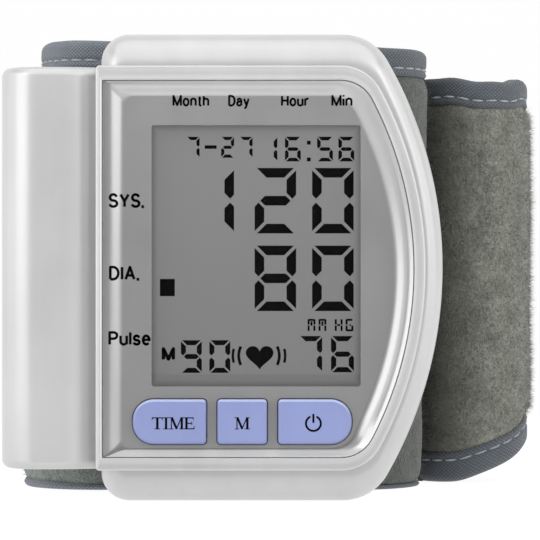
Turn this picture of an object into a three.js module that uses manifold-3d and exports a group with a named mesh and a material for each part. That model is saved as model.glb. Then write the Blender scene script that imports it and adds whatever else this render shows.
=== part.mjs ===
// A wrist blood pressure monitor: a moulded body with a display, three buttons and a battery column,
// on a stiff fabric cuff that loops round the wrist and closes with a long loose strap.
// Millimetres, +Z up. The face looks along -Y, and the monitor stands on its lower edge.
import * as THREE from "three";
import { mergeVertices } from "three/addons/utils/BufferGeometryUtils.js";
import Module from "manifold-3d";

// Case: overall
const CASE_WIDTH = 69.1; // battery column's left side to the crown of the right side
const CASE_HEIGHT = 73;
const PARTING_DEPTH = 16; // where the two housings meet
const WALL = 1.8;
const CLEARANCE = 0.2; // gap between fixed neighbours
const SEAM = 0.1; // gap along the parting line

// Case: housing outline and its rounded skirt
const HOUSING_SIDE_RADIUS = 65;
const HOUSING_LEFT_CORNER = 4.4;
const HOUSING_RIGHT_CORNER = 8;
const SKIRT_DEPTH = 3; // crest of the bezel back to the skirt's flat front
const SKIRT_ROUND_WIDTH = 2.8;
const SKIRT_ROUND_DEPTH = 5;
const REAR_ROUND_WIDTH = 3.2;
const REAR_ROUND_DEPTH = 7;

// Bezel: margins from the case's edges, and ring widths down to the face panel
const BEZEL_RIGHT_MARGIN = 3;
const BEZEL_TOP_MARGIN = 5.3;
const BEZEL_BOTTOM_MARGIN = 5.1;
const BEZEL_OVERHANG = 0.55; // how far its left strip stands out past the housing's left wall
const BEZEL_SIDE_RADIUS = 58.2;
const BEZEL_RIGHT_CORNER = 7;
const BEZEL_LEFT_CORNER = 0.6;
const RING_LEFT = 1;
const RING_RIGHT = 1.75;
const RING_TOP = 2.25;
const RING_BOTTOM = 1.95;
const BEZEL_EDGE_ROUND = 0.5;
const BEZEL_SKIRT = 0.55; // wall that drops into the housing
const BEZEL_LEDGE = 1.2; // shelf under the face panel
const BEZEL_LEDGE_THICKNESS = 1.2;

// Face panel: a shallow dish with a window and three button holes
const PANEL_GAP = 0.2;
const PANEL_SIDE_RADIUS = 56.4;
const PANEL_RIGHT_CORNER = 5.5;
const PANEL_RIM_DEPTH = 0.6; // rim's distance behind the bezel's crest
const PANEL_FLAT_DEPTH = 1.6; // flat floor's distance behind the bezel's crest
const PANEL_THICKNESS = 1.6;
const PANEL_BORDER = 3; // width of the dished border
const WINDOW_FROM_LEFT = 7.4; // panel's left edge to the window
const WINDOW_FROM_RIGHT = 8.05; // crown of the panel's right edge to the window
const WINDOW_FROM_TOP = 6.7;
const WINDOW_TO_BUTTONS = 1.95;
const WINDOW_CORNER = 0.4;

// Buttons
const BUTTON_HEIGHT = 6.95;
const BUTTON_BOTTOM = 9.15;
const BUTTON_FROM_LEFT = 4.5; // panel's left edge to the first button
const BUTTON_FROM_RIGHT = 9.45; // crown of the panel's right edge to the last button
const NARROW_BUTTON = 7.7;
const BUTTON_SPACING = 1.7;
const BUTTON_SQUARE_CORNER = 0.6;
const BUTTON_END_FLAT = 0.4; // straight stretch left at a round end
const BUTTON_PROUD = 1.2; // how far a button stands out of the panel's floor
const BUTTON_EDGE = 0.5;
const BUTTON_TRAVEL = 0.6;
const BUTTON_FLANGE = 0.6;
const BUTTON_FLANGE_THICKNESS = 0.8;
const BUTTON_GAP = 0.25;
const STEM_RADIUS = 1.5;
const STEM_LENGTH = 0.8;

// Display and board stack
const LENS_MARGIN = 0.8;
const LENS_THICKNESS = 0.8;
const LCD_MARGIN = 0.6;
const LCD_THICKNESS = 2.8;
const LCD_STEP = 2.4; // bare contact ledge along the rear glass's lower edge
const FRAME_WALL = 1.2;
const ZEBRA_WIDTH = 1.6;
const ZEBRA_INSET = 1.2;
const ZEBRA_GAP_HEIGHT = 1.8; // lcd to board
const BOARD_THICKNESS = 1.6;
const BOARD_MARGIN = 1;
const SWITCH_SIZE = 5.6;
const SWITCH_PLUNGER_RADIUS = 1.7;
const SWITCH_PLUNGER_LENGTH = 0.9;
const CHIP_SIZE = 10;
const CHIP_THICKNESS = 1.4;
const CHIP_DROP = 4.5; // below the case's middle
const BUZZER_RADIUS = 4.5;
const BUZZER_HEIGHT = 3.6;
const BUZZER_PORT_RADIUS = 1;
const BUZZER_PORT_DEPTH = 1;
const BUZZER_FROM_LEFT = 9.9; // from the housing's left wall
const BUZZER_DROP = 14.5; // below the case's middle

// Screws and bosses
const SCREW_MARGIN = 5.9; // from the case's lower and upper edges
const SCREW_FROM_LEFT = 7.4; // from the housing's left wall
const SCREW_FROM_RIGHT = 19.05; // from the crown of the right side
const SCREW_RADIUS = 1;
const SCREW_HEAD_RADIUS = 1.9;
const SCREW_HEAD_HEIGHT = 1.5;
const SCREW_BITE = 6; // length held in the front boss
const SCREW_SLOT = 0.5;
const SCREW_GAP = 0.15;
const FRONT_BOSS_RADIUS = 2.2;
const REAR_BOSS_RADIUS = 2.8;

// Pump and air parts
const PUMP_FROM_RIGHT = 16.55; // from the crown of the right side
const PUMP_DROP = 0.5; // lower end of the motor, below the case's middle
const BOARD_TO_PUMP = 1.6;
const MOTOR_RADIUS = 6;
const MOTOR_LENGTH = 25;
const MOTOR_FLAT = 5; // half the width across the motor's two flats
const MOTOR_BUSH_RADIUS = 2;
const MOTOR_BUSH_LENGTH = 1.6;
const HEAD_SIZE = 13;
const HEAD_LENGTH = 11;
const HEAD_CORNER = 2;
const HEAD_PLATE_COUNT = 3;
const HEAD_GROOVE = 0.6;
const CRADLE_LENGTH = 14;
const CRADLE_WIDTH = 15;
const CRADLE_RISE = 5.4;
const NIPPLE_RADIUS = 1;
const NIPPLE_LENGTH = 3.4;
const HOSE_RADIUS = 2;
const HOSE_BORE_RADIUS = 1.2;
const VALVE_RISE = 5.5; // lower end, above the case's middle
const VALVE_WIDTH = 9;
const VALVE_HEIGHT = 13;
const VALVE_DEPTH = 9;
const VALVE_COIL_RADIUS = 4;
const VALVE_YOKE = 1;
const SENSOR_FROM_LEFT = 8.9; // from the housing's left wall
const SENSOR_RISE = 7.5; // lower end, above the case's middle
const SENSOR_SIZE = 8;
const SENSOR_THICKNESS = 4.6;
const MANIFOLD_SIZE = 6;
const NOZZLE_FROM_PUMP = 14;
const NOZZLE_FROM_PLATE = 4.3; // above the mount plate's lower edge
const NOZZLE_RADIUS = 2.4;
const NOZZLE_FLANGE_RADIUS = 4;
const NOZZLE_FLANGE_THICKNESS = 1.2;

// Battery column
const COVER_WIDTH = 14.9;
const COVER_WALL = 1.3;
const COVER_FRONT_DEPTH = 2.6; // bezel's crest back to the column's crest
const COVER_SHOULDER_DROP = 1.9; // how far the front falls towards the bezel
const COVER_FLAT_FROM_LEFT = 8.4; // flat crest ends here, and the fall begins
const COVER_FRONT_ROUND = 6;
const COVER_REAR_ROUND = 3.5;
const COVER_END_ROUND = 1.4;
const COVER_BACK_SETBACK = 0.2;
const CELL_RADIUS = 5.25;
const CELL_LENGTH = 44.5;
const CELL_NUB_RADIUS = 1.9;
const CELL_NUB_LENGTH = 0.9;
const CELL_EDGE = 0.5;
const CELL_GAP = 0.3;
const TRAY_WALL = 1.2;
const TRAY_END_REACH = 11; // how far the end walls stand out from the tray's base
const TRAY_MARGIN = 0.5; // tray to the cover's inner walls
const CELL_TO_COVER = 0.35; // cells to the cover's inner walls, also while it slides off
const TRAY_RIB = 1.4;
const SPRING_LENGTH = 3;
const SPRING_WIRE_RADIUS = 0.3;
const SPRING_WIDE_RADIUS = 3.4;
const SPRING_NARROW_RADIUS = 2;
const SPRING_TURNS = 2.5;
const CONTACT_THICKNESS = 0.6;
const CONTACT_WIDTH = 8;

// Cuff: the loop in plan, seen from above
const CUFF_HEIGHT = 73.4;
const LOOP_RADIUS = 33; // outside of the half-round back
const LOOP_CORNER = 12; // outside of the two front bends
const TIP_ANGLE = 35; // degrees from +X to the end of the short side
const STRAP_ANGLE = 140; // degrees from +X to where the strap begins
const LEFT_LEAN = 3; // how far the left side leans inwards at its upper edge
const COVER_CLOTH = 1.2;
const STAY_THICKNESS = 0.8;
const BLADDER_THICKNESS = 1.6;
const LINING_THICKNESS = 0.6;
const LAYER_GAP = 0.3;
const BINDING_CLOTH = 0.5;
const BINDING_WIDTH = 4;
const BLADDER_MARGIN = 6; // from the cuff's edges
const STAY_MARGIN = 5;
const LAYER_END_ANGLE = 8; // degrees by which the stay and bladder stop short of the cover's ends
const PLATE_THICKNESS = 1.7;
const PLATE_WIDTH = 34;
const PLATE_EDGE = 5.7; // from the bindings to the plate
const PLATE_CORNER = 4;

// Strap: the long loose end and the bulge that it makes at the right
const STRAP_HINGE_GAP = 0.8;
const STRAP_TOP = 68.3; // height of its upper edge where it shows
const STRAP_RISE = 7; // how far its lower edge lifts at the bulge
const STRAP_SPARE = 0.6; // slack between the strap and the short side beneath it
const BULGE_OUT = 8.7; // centre of the bulge, past the loop's right side
const BULGE_BACK = 14.5; // centre of the bulge, behind the loop's middle
const BULGE_RADIUS = 9.3;
const BULGE_END_ANGLE = -150; // degrees from +X to the strap's tip
const BULGE_LEVEL_ANGLE = -92; // the lower edge is level from here to the tip
const HOOK_THICKNESS = 1;
const HOOK_LENGTH = 30;
const HOOK_MARGIN = 6;

// Smoothness
const CORNER_STEPS = 4;
const BEND_STEPS = 5;
const SIDE_STEPS = 12;
const ROUND_STEPS = 4;
const BAND_STEP = 4; // path length between the cuff's sections
const ROD_SIDES = 12;
const MOTOR_SIDES = 20;
const NIPPLE_SIDES = 10;
const HOSE_CURVE_STEPS = 4;
const HOSE_LEAST_STEPS = 6;
const COVER_CURVE_STEPS = 6;
const SPRING_STEPS = 8; // per turn
const SPRING_SIDES = 5;
const MERGE_DISTANCE = 1e-3;

const wasm = await Module();
wasm.setup();

const degrees = THREE.MathUtils.degToRad;
const smooth = THREE.MathUtils.smoothstep;
const lerp = THREE.MathUtils.lerp;

// Solids

function solidFromMesh(positions, triangles) {
  const build = (list) =>
    new wasm.Manifold(
      new wasm.Mesh({
        numProp: 3,
        vertProperties: new Float32Array(positions),
        triVerts: new Uint32Array(list),
      }),
    );
  const made = build(triangles);
  return made.volume() > 0 ? made : build([...triangles].reverse());
}

function solidFromGeometry(geometry) {
  geometry.deleteAttribute("normal");
  geometry.deleteAttribute("uv");
  const merged = mergeVertices(geometry, MERGE_DISTANCE);
  return solidFromMesh(merged.attributes.position.array, merged.index.array);
}

function geometryFromSolid(solid) {
  const mesh = solid.getMesh();
  const geometry = new THREE.BufferGeometry();
  geometry.setAttribute("position", new THREE.BufferAttribute(mesh.vertProperties, 3));
  geometry.setIndex(new THREE.BufferAttribute(mesh.triVerts, 1));
  const shaded = geometry.toNonIndexed();
  shaded.computeVertexNormals();
  return shaded;
}

const cut = (solid, ...tools) => tools.reduce((left, tool) => left.subtract(tool), solid);
const join = (solid, ...others) => others.reduce((sum, other) => sum.add(other), solid);

// A closed skin through rings of equal length: capped by two flat contours, or joined end to start.
function skin(rings, startContour, endContour) {
  const count = rings[0].length;
  const vertices = rings.flat();
  const triangles = [];
  const closed = !startContour;
  const bands = closed ? rings.length : rings.length - 1;
  for (let band = 0; band < bands; band += 1) {
    const near = band * count;
    const far = ((band + 1) % rings.length) * count;
    for (let i = 0; i < count; i += 1) {
      const next = (i + 1) % count;
      triangles.push(...splitQuad(vertices, near + i, near + next, far + next, far + i));
    }
  }
  if (!closed) {
    const last = (rings.length - 1) * count;
    capTriangles(startContour).forEach(([a, b, c]) => triangles.push(a, c, b));
    capTriangles(endContour).forEach(([a, b, c]) => triangles.push(last + a, last + b, last + c));
  }
  const positions = vertices.flatMap((point) => [point.x, point.y, point.z]);
  return solidFromMesh(positions, triangles);
}

// Two triangles over four corners, split along the shorter diagonal.
function splitQuad(vertices, a, b, c, d) {
  const shorter = vertices[a].distanceTo(vertices[c]) <= vertices[b].distanceTo(vertices[d]);
  return shorter ? [a, b, c, a, c, d] : [a, b, d, b, c, d];
}

// Triangles over a flat contour, turned the way that the contour runs.
function capTriangles(contour) {
  const turn = Math.sign(THREE.ShapeUtils.area(contour));
  return THREE.ShapeUtils.triangulateShape([...contour], []).map(([a, b, c]) => {
    const area = THREE.ShapeUtils.area([contour[a], contour[b], contour[c]]);
    return area * turn > 0 ? [a, b, c] : [a, c, b];
  });
}

function block(x0, x1, y0, y1, z0, z1) {
  const geometry = new THREE.BoxGeometry(x1 - x0, y1 - y0, z1 - z0);
  geometry.translate((x0 + x1) / 2, (y0 + y1) / 2, (z0 + z1) / 2);
  return solidFromGeometry(geometry);
}

// A turned solid along Y or Z: pairs of radius and place along the axis.
function turned(axis, profile, x, y, z, sides = ROD_SIDES) {
  const first = profile[0][1];
  const last = profile[profile.length - 1][1];
  const points = [[0, first], ...profile, [0, last]].map(([r, along]) => new THREE.Vector2(r, along));
  const geometry = new THREE.LatheGeometry(points, sides);
  if (axis === "z") geometry.rotateX(Math.PI / 2);
  if (axis === "x") geometry.rotateZ(-Math.PI / 2);
  geometry.translate(x, y, z);
  return solidFromGeometry(geometry);
}

const rod = (axis, radius, from, to, x, y, z, sides) =>
  turned(axis, [[radius, from], [radius, to]], x, y, z, sides);

// Outlines in the face's plane, X across and Z up

function arc(x, z, radius, from, to, steps) {
  return Array.from({ length: steps + 1 }, (_, i) => {
    const angle = lerp(from, to, i / steps);
    return new THREE.Vector2(x + radius * Math.cos(angle), z + radius * Math.sin(angle));
  });
}

// The case's outline: straight left, top and bottom, and a bowed right side.
function bowedOutline(o) {
  const middle = (o.bottom + o.top) / 2;
  const bowX = o.right - o.side;
  const rise = o.top - o.rightCorner - middle;
  const reach = Math.sqrt((o.side - o.rightCorner) ** 2 - rise ** 2);
  const turn = Math.atan2(rise, reach);
  const cornerX = bowX + reach;
  const leftX = o.left + o.leftCorner;
  const quarter = Math.PI / 2;
  return [
    ...arc(cornerX, o.bottom + o.rightCorner, o.rightCorner, -quarter, -turn, BEND_STEPS),
    ...arc(bowX, middle, o.side, -turn, turn, SIDE_STEPS).slice(1, -1),
    ...arc(cornerX, o.top - o.rightCorner, o.rightCorner, turn, quarter, BEND_STEPS),
    ...arc(leftX, o.top - o.leftCorner, o.leftCorner, quarter, 2 * quarter, CORNER_STEPS),
    ...arc(leftX, o.bottom + o.leftCorner, o.leftCorner, 2 * quarter, 3 * quarter, CORNER_STEPS),
  ];
}

function inset(o, amount) {
  const least = 0.1;
  return {
    left: o.left + amount,
    right: o.right - amount,
    bottom: o.bottom + amount,
    top: o.top - amount,
    side: o.side - amount,
    leftCorner: Math.max(o.leftCorner - amount, least),
    rightCorner: Math.max(o.rightCorner - amount, least),
  };
}

function roundedOutline(o) {
  const quarter = Math.PI / 2;
  const corner = (x, z, radius, turn) =>
    arc(x, z, radius, turn * quarter, (turn + 1) * quarter, CORNER_STEPS);
  return [
    ...corner(o.right - o.rightCorner, o.bottom + o.rightCorner, o.rightCorner, -1),
    ...corner(o.right - o.rightCorner, o.top - o.rightCorner, o.rightCorner, 0),
    ...corner(o.left + o.leftCorner, o.top - o.leftCorner, o.leftCorner, 1),
    ...corner(o.left + o.leftCorner, o.bottom + o.leftCorner, o.leftCorner, 2),
  ];
}

const ringAt = (points, depth) => points.map((point) => new THREE.Vector3(point.x, depth, point.y));

// A solid through outlines at given depths: pairs of points and depth.
function loft(levels) {
  const rings = levels.map(([points, depth]) => ringAt(points, depth));
  return skin(rings, levels[0][0], levels[levels.length - 1][0]);
}

const slab = (points, from, to) => loft([[points, from], [points, to]]);

// Materials

const paint = (color, roughness, metalness = 0) =>
  new THREE.MeshStandardMaterial({ color, roughness, metalness });

const CASE_GREY = () => paint(0xd2d2d2, 0.42);
const PANEL_GREY = () => paint(0x949494, 0.35);
const BUTTON_BLUE = () => paint(0x929bce, 0.4);
const CLEAR = () => paint(0xdfe6e4, 0.08);
const LCD_GREY = () => paint(0x80837f, 0.3);
const WHITE_PLASTIC = () => paint(0xe8e6df, 0.5);
const BLACK_PLASTIC = () => paint(0x222324, 0.5);
const BOARD_GREEN = () => paint(0x1f5a38, 0.5);
const STEEL = () => paint(0xb9bcc0, 0.35, 1);
const SPRING_STEEL = () => paint(0xc9ccce, 0.3, 1);
const RUBBER = () => paint(0x2c2c2d, 0.8);
const SILICONE = () => paint(0xc8c9c4, 0.6);
const PLUSH = () => paint(0x5f6259, 0.95);
const LINING = () => paint(0x3b3e40, 0.9);
const BINDING = () => paint(0x646a71, 0.9);

const monitor = new THREE.Group();

function add(name, solid, material) {
  const mesh = new THREE.Mesh(geometryFromSolid(solid), material);
  mesh.name = name;
  monitor.add(mesh);
  return mesh;
}

// Places shared by the pieces

const caseLeft = -CASE_WIDTH / 2;
const caseRight = CASE_WIDTH / 2;
const caseMiddle = CASE_HEIGHT / 2;
const coverRight = caseLeft + COVER_WIDTH;
const bezelLeft = coverRight + CLEARANCE;

const housing = {
  left: bezelLeft + BEZEL_OVERHANG,
  right: caseRight,
  bottom: 0,
  top: CASE_HEIGHT,
  side: HOUSING_SIDE_RADIUS,
  leftCorner: HOUSING_LEFT_CORNER,
  rightCorner: HOUSING_RIGHT_CORNER,
};
const bezelOuter = {
  left: bezelLeft,
  right: caseRight - BEZEL_RIGHT_MARGIN,
  bottom: BEZEL_BOTTOM_MARGIN,
  top: CASE_HEIGHT - BEZEL_TOP_MARGIN,
  side: BEZEL_SIDE_RADIUS,
  leftCorner: BEZEL_LEFT_CORNER,
  rightCorner: BEZEL_RIGHT_CORNER,
};
const bezelInner = {
  left: bezelOuter.left + RING_LEFT,
  right: bezelOuter.right - RING_RIGHT,
  bottom: bezelOuter.bottom + RING_BOTTOM,
  top: bezelOuter.top - RING_TOP,
  side: PANEL_SIDE_RADIUS,
  leftCorner: BEZEL_LEFT_CORNER,
  rightCorner: PANEL_RIGHT_CORNER,
};
const panel = inset(bezelInner, PANEL_GAP);
const panelBack = PANEL_FLAT_DEPTH + PANEL_THICKNESS;
const ledgeFront = panelBack + CLEARANCE;
const ledgeBack = ledgeFront + BEZEL_LEDGE_THICKNESS;
const frontWallBack = Math.max(SKIRT_DEPTH + WALL, ledgeBack + CLEARANCE);

const buttonTop = BUTTON_BOTTOM + BUTTON_HEIGHT;
const glassWindow = {
  left: panel.left + WINDOW_FROM_LEFT,
  right: panel.right - WINDOW_FROM_RIGHT,
  bottom: buttonTop + WINDOW_TO_BUTTONS,
  top: panel.top - WINDOW_FROM_TOP,
  leftCorner: WINDOW_CORNER,
  rightCorner: WINDOW_CORNER,
};
const lensFront = panelBack + CLEARANCE;
const lcdFront = lensFront + LENS_THICKNESS + CLEARANCE;
const lcdBack = lcdFront + LCD_THICKNESS;
const boardFront = lcdBack + ZEBRA_GAP_HEIGHT;
const boardBack = boardFront + BOARD_THICKNESS;

// The pump behind the board, or the two cells in their cover, set the case's depth
const pumpStack = boardBack + BOARD_TO_PUMP + 2 * MOTOR_RADIUS + 2 * WALL + CLEARANCE;
const cellFront = COVER_FRONT_DEPTH + COVER_SHOULDER_DROP + COVER_WALL + CELL_TO_COVER;
const cellBack = cellFront + 4 * CELL_RADIUS + CELL_GAP;
const caseDepth = Math.max(pumpStack, cellBack + CELL_TO_COVER + COVER_WALL + COVER_BACK_SETBACK);
const rearWallFront = caseDepth - WALL;

const pumpX = caseRight - PUMP_FROM_RIGHT;
const pumpZ = caseMiddle - PUMP_DROP;
const valveZ = caseMiddle + VALVE_RISE;
const sensorX = housing.left + SENSOR_FROM_LEFT;
const sensorZ = caseMiddle + SENSOR_RISE;
const buzzerX = housing.left + BUZZER_FROM_LEFT;
const buzzerZ = caseMiddle - BUZZER_DROP;
const chipZ = caseMiddle - CHIP_DROP;
const plateBottom = BINDING_WIDTH + PLATE_EDGE;
const nozzleX = pumpX - NOZZLE_FROM_PUMP;
const nozzleZ = plateBottom + NOZZLE_FROM_PLATE;

const buttonMiddle = BUTTON_BOTTOM + BUTTON_HEIGHT / 2;
const flangeFront = panelBack + CLEARANCE;
const flangeBack = flangeFront + BUTTON_FLANGE_THICKNESS;
const stemEnd = flangeBack + STEM_LENGTH;
const plungerFront = stemEnd + BUTTON_TRAVEL + CLEARANCE;

const screwLeftX = housing.left + SCREW_FROM_LEFT;
const screwRightX = caseRight - SCREW_FROM_RIGHT;
const screwPlaces = [
  ["lower_left", screwLeftX, SCREW_MARGIN],
  ["lower_right", screwRightX, SCREW_MARGIN],
  ["upper_left", screwLeftX, CASE_HEIGHT - SCREW_MARGIN],
  ["upper_right", screwRightX, CASE_HEIGHT - SCREW_MARGIN],
];
const screwHeadBack = caseDepth - CLEARANCE;
const screwHeadFront = screwHeadBack - SCREW_HEAD_HEIGHT;
const screwTip = PARTING_DEPTH - SCREW_BITE;

// A quarter-round edge as pairs of inset and distance, from the inner end of the round to its outer end.
function quarterRound(width, depth, steps = ROUND_STEPS) {
  return Array.from({ length: steps + 1 }, (_, i) => {
    const angle = (i / steps) * (Math.PI / 2);
    return [width * (1 - Math.sin(angle)), depth * (1 - Math.cos(angle))];
  });
}

// Housings

function frontShell(outline, front) {
  const levels = quarterRound(SKIRT_ROUND_WIDTH, SKIRT_ROUND_DEPTH).map(([edge, depth]) => [
    bowedOutline(inset(outline, edge)),
    front + depth,
  ]);
  return loft([...levels, [bowedOutline(outline), PARTING_DEPTH]]);
}

function frontHousing() {
  const outer = frontShell(housing, SKIRT_DEPTH);
  const inner = loft([
    [bowedOutline(inset(housing, WALL + SKIRT_ROUND_WIDTH / 2)), frontWallBack],
    [bowedOutline(inset(housing, WALL)), frontWallBack + SKIRT_ROUND_DEPTH / 2],
    [bowedOutline(inset(housing, WALL)), PARTING_DEPTH + WALL],
  ]);
  const bosses = screwPlaces.map(([, x, z]) =>
    rod("y", FRONT_BOSS_RADIUS, SKIRT_DEPTH + WALL / 2, PARTING_DEPTH, x, 0, z),
  );
  const opening = slab(
    bowedOutline(inset(bezelInner, -BEZEL_SKIRT - CLEARANCE)),
    -WALL,
    frontWallBack,
  );
  const pilots = screwPlaces.map(([, x, z]) =>
    rod("y", SCREW_RADIUS + SCREW_GAP, screwTip - WALL, PARTING_DEPTH + WALL, x, 0, z),
  );
  return cut(join(cut(outer, inner), ...bosses), opening, ...pilots);
}

// Depth of the rear housing's rounded edge, walked from the parting line to the flat back.
function rearLevels(outline, start, back) {
  const edge = quarterRound(REAR_ROUND_WIDTH, REAR_ROUND_DEPTH)
    .reverse()
    .map(([width, depth]) => [bowedOutline(inset(outline, width)), back - depth]);
  return [[bowedOutline(outline), start], ...edge];
}

function rearHousing() {
  const start = PARTING_DEPTH + SEAM;
  const outer = loft(rearLevels(housing, start, caseDepth));
  const inner = loft(rearLevels(inset(housing, WALL), start - WALL, rearWallFront));
  const bosses = screwPlaces.map(([, x, z]) => rod("y", REAR_BOSS_RADIUS, start, caseDepth, x, 0, z));
  const holes = screwPlaces.map(([, x, z]) =>
    turned(
      "y",
      [
        [SCREW_RADIUS + SCREW_GAP, start - WALL],
        [SCREW_RADIUS + SCREW_GAP, screwHeadFront - CLEARANCE],
        [SCREW_HEAD_RADIUS + SCREW_GAP, screwHeadFront - CLEARANCE],
        [SCREW_HEAD_RADIUS + SCREW_GAP, caseDepth + WALL],
      ],
      x,
      0,
      z,
    ),
  );
  const portRadius = NOZZLE_RADIUS + CLEARANCE;
  const port = rod("y", portRadius, rearWallFront - WALL, caseDepth + WALL, nozzleX, 0, nozzleZ);
  return cut(join(cut(outer, inner), ...bosses.map((boss) => boss.intersect(outer))), ...holes, port);
}

function screw(x, z) {
  const body = turned(
    "y",
    [
      [SCREW_RADIUS, screwTip],
      [SCREW_RADIUS, screwHeadFront],
      [SCREW_HEAD_RADIUS, screwHeadFront],
      [SCREW_HEAD_RADIUS, screwHeadBack],
    ],
    x,
    0,
    z,
  );
  const half = SCREW_SLOT / 2;
  const reach = SCREW_HEAD_RADIUS / 2;
  const end = screwHeadBack + SCREW_SLOT;
  const start = screwHeadBack - SCREW_SLOT;
  return cut(
    body,
    block(x - reach, x + reach, start, end, z - half, z + half),
    block(x - half, x + half, start, end, z - reach, z + reach),
  );
}

add("front_housing", frontHousing(), CASE_GREY());
add("rear_housing", rearHousing(), CASE_GREY());
for (const [place, x, z] of screwPlaces) add(`housing_screw_${place}`, screw(x, z), STEEL());

// Bezel: one ring whose section has a rounded crest, a skirt and a ledge

function bezel() {
  const bottom = SKIRT_DEPTH - SEAM;
  const edge = BEZEL_EDGE_ROUND;
  const section = [
    [bezelOuter, 0, bottom],
    [bezelOuter, 0, edge],
    [bezelOuter, edge * (1 - Math.SQRT1_2), edge * (1 - Math.SQRT1_2)],
    [bezelOuter, edge, 0],
    [bezelInner, -edge / 2, 0],
    [bezelInner, 0, edge / 2],
    [bezelInner, 0, ledgeFront],
    [bezelInner, BEZEL_LEDGE, ledgeFront],
    [bezelInner, BEZEL_LEDGE, ledgeBack],
    [bezelInner, -BEZEL_SKIRT, ledgeBack],
    [bezelInner, -BEZEL_SKIRT, bottom],
  ];
  const rings = section.map(([outline, amount, depth]) =>
    ringAt(bowedOutline(inset(outline, amount)), depth),
  );
  return skin(rings);
}

add("display_bezel", bezel(), CASE_GREY());

// Buttons, from left to right, with their round outer ends

function buttonRow() {
  const left = panel.left + BUTTON_FROM_LEFT;
  const row = panel.right - BUTTON_FROM_RIGHT - left;
  const wide = (row - NARROW_BUTTON - 2 * BUTTON_SPACING) / 2;
  const round = (BUTTON_HEIGHT - BUTTON_END_FLAT) / 2;
  const square = BUTTON_SQUARE_CORNER;
  const plan = [
    ["time", wide, round, square],
    ["memory", NARROW_BUTTON, square, square],
    ["power", wide, square, round],
  ];
  let start = left;
  return plan.map(([name, width, leftCorner, rightCorner]) => {
    const outline = {
      left: start,
      right: start + width,
      bottom: BUTTON_BOTTOM,
      top: buttonTop,
      leftCorner,
      rightCorner,
    };
    start += width + BUTTON_SPACING;
    return { name, outline };
  });
}

const buttons = buttonRow();
const centreOf = (outline) => (outline.left + outline.right) / 2;

function button(outline) {
  const front = PANEL_FLAT_DEPTH - BUTTON_PROUD;
  const edge = quarterRound(BUTTON_EDGE, BUTTON_EDGE).map(([width, depth]) => [
    roundedOutline(inset(outline, width)),
    front + depth,
  ]);
  const flange = roundedOutline(inset(outline, -BUTTON_FLANGE));
  const cap = loft([
    ...edge,
    [roundedOutline(outline), flangeFront],
    [flange, flangeFront],
    [flange, flangeBack],
  ]);
  const stemStart = flangeBack - STEM_LENGTH / 2;
  const stem = rod("y", STEM_RADIUS, stemStart, stemEnd, centreOf(outline), 0, buttonMiddle);
  return join(cap, stem);
}

for (const { name, outline } of buttons) add(`${name}_button`, button(outline), BUTTON_BLUE());

// Face panel

function facePanel() {
  const border = quarterRound(PANEL_FLAT_DEPTH - PANEL_RIM_DEPTH, PANEL_BORDER).map(([rise, edge]) => [
    bowedOutline(inset(panel, edge)),
    PANEL_FLAT_DEPTH - rise,
  ]);
  const dish = loft([[bowedOutline(panel), panelBack], ...border]);
  const through = [-PANEL_THICKNESS, panelBack + PANEL_THICKNESS];
  const glass = slab(roundedOutline(glassWindow), ...through);
  const holes = buttons.map(({ outline }) =>
    slab(roundedOutline(inset(outline, -BUTTON_GAP)), ...through),
  );
  return cut(dish, glass, ...holes);
}

add("face_panel", facePanel(), PANEL_GREY());

// Display stack and board

const lens = inset(glassWindow, -LENS_MARGIN);
const lcd = inset(glassWindow, -LCD_MARGIN);
const frameInner = inset(lcd, -CLEARANCE);
const frameOuter = inset(frameInner, -FRAME_WALL);

function lcdGlass() {
  const half = lcdFront + LCD_THICKNESS / 2;
  const front = block(lcd.left, lcd.right, lcdFront, half, lcd.bottom + LCD_STEP, lcd.top);
  const rear = block(lcd.left, lcd.right, half, lcdBack, lcd.bottom, lcd.top);
  return join(front, rear);
}

function lcdFrame() {
  const outer = block(
    frameOuter.left,
    frameOuter.right,
    ledgeBack + CLEARANCE,
    boardFront - CLEARANCE,
    frameOuter.bottom,
    frameOuter.top,
  );
  const hole = block(
    frameInner.left,
    frameInner.right,
    lcdFront - FRAME_WALL,
    boardFront + FRAME_WALL,
    frameInner.bottom,
    frameInner.top,
  );
  return cut(outer, hole);
}

function zebraStrip(bottom) {
  const left = lcd.left + ZEBRA_INSET;
  const right = lcd.right - ZEBRA_INSET;
  return block(left, right, lcdBack + CLEARANCE, boardFront - CLEARANCE, bottom, bottom + ZEBRA_WIDTH);
}

function mainBoard() {
  const outline = bowedOutline(inset(housing, WALL + BOARD_MARGIN));
  const notches = screwPlaces.map(([, x, z]) =>
    rod("y", FRONT_BOSS_RADIUS + 2 * CLEARANCE, boardFront - WALL, boardBack + WALL, x, 0, z),
  );
  return cut(slab(outline, boardFront, boardBack), ...notches);
}

function tactSwitch(x) {
  const half = SWITCH_SIZE / 2;
  const top = plungerFront + SWITCH_PLUNGER_LENGTH;
  const low = buttonMiddle - half;
  const body = block(x - half, x + half, top, boardFront - SEAM, low, low + SWITCH_SIZE);
  const plunger = rod("y", SWITCH_PLUNGER_RADIUS, plungerFront, top + SEAM, x, 0, buttonMiddle);
  return join(body, plunger);
}

function controllerChip() {
  const half = CHIP_SIZE / 2;
  const front = boardBack + SEAM;
  const low = chipZ - half;
  return block(-half, half, front, front + CHIP_THICKNESS, low, low + CHIP_SIZE);
}

function buzzer() {
  const front = boardBack + SEAM;
  const back = front + BUZZER_HEIGHT;
  const body = rod("y", BUZZER_RADIUS, front, back, buzzerX, 0, buzzerZ);
  const port = rod("y", BUZZER_PORT_RADIUS, back - BUZZER_PORT_DEPTH, back + SEAM, buzzerX, 0, buzzerZ);
  return cut(body, port);
}

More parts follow.
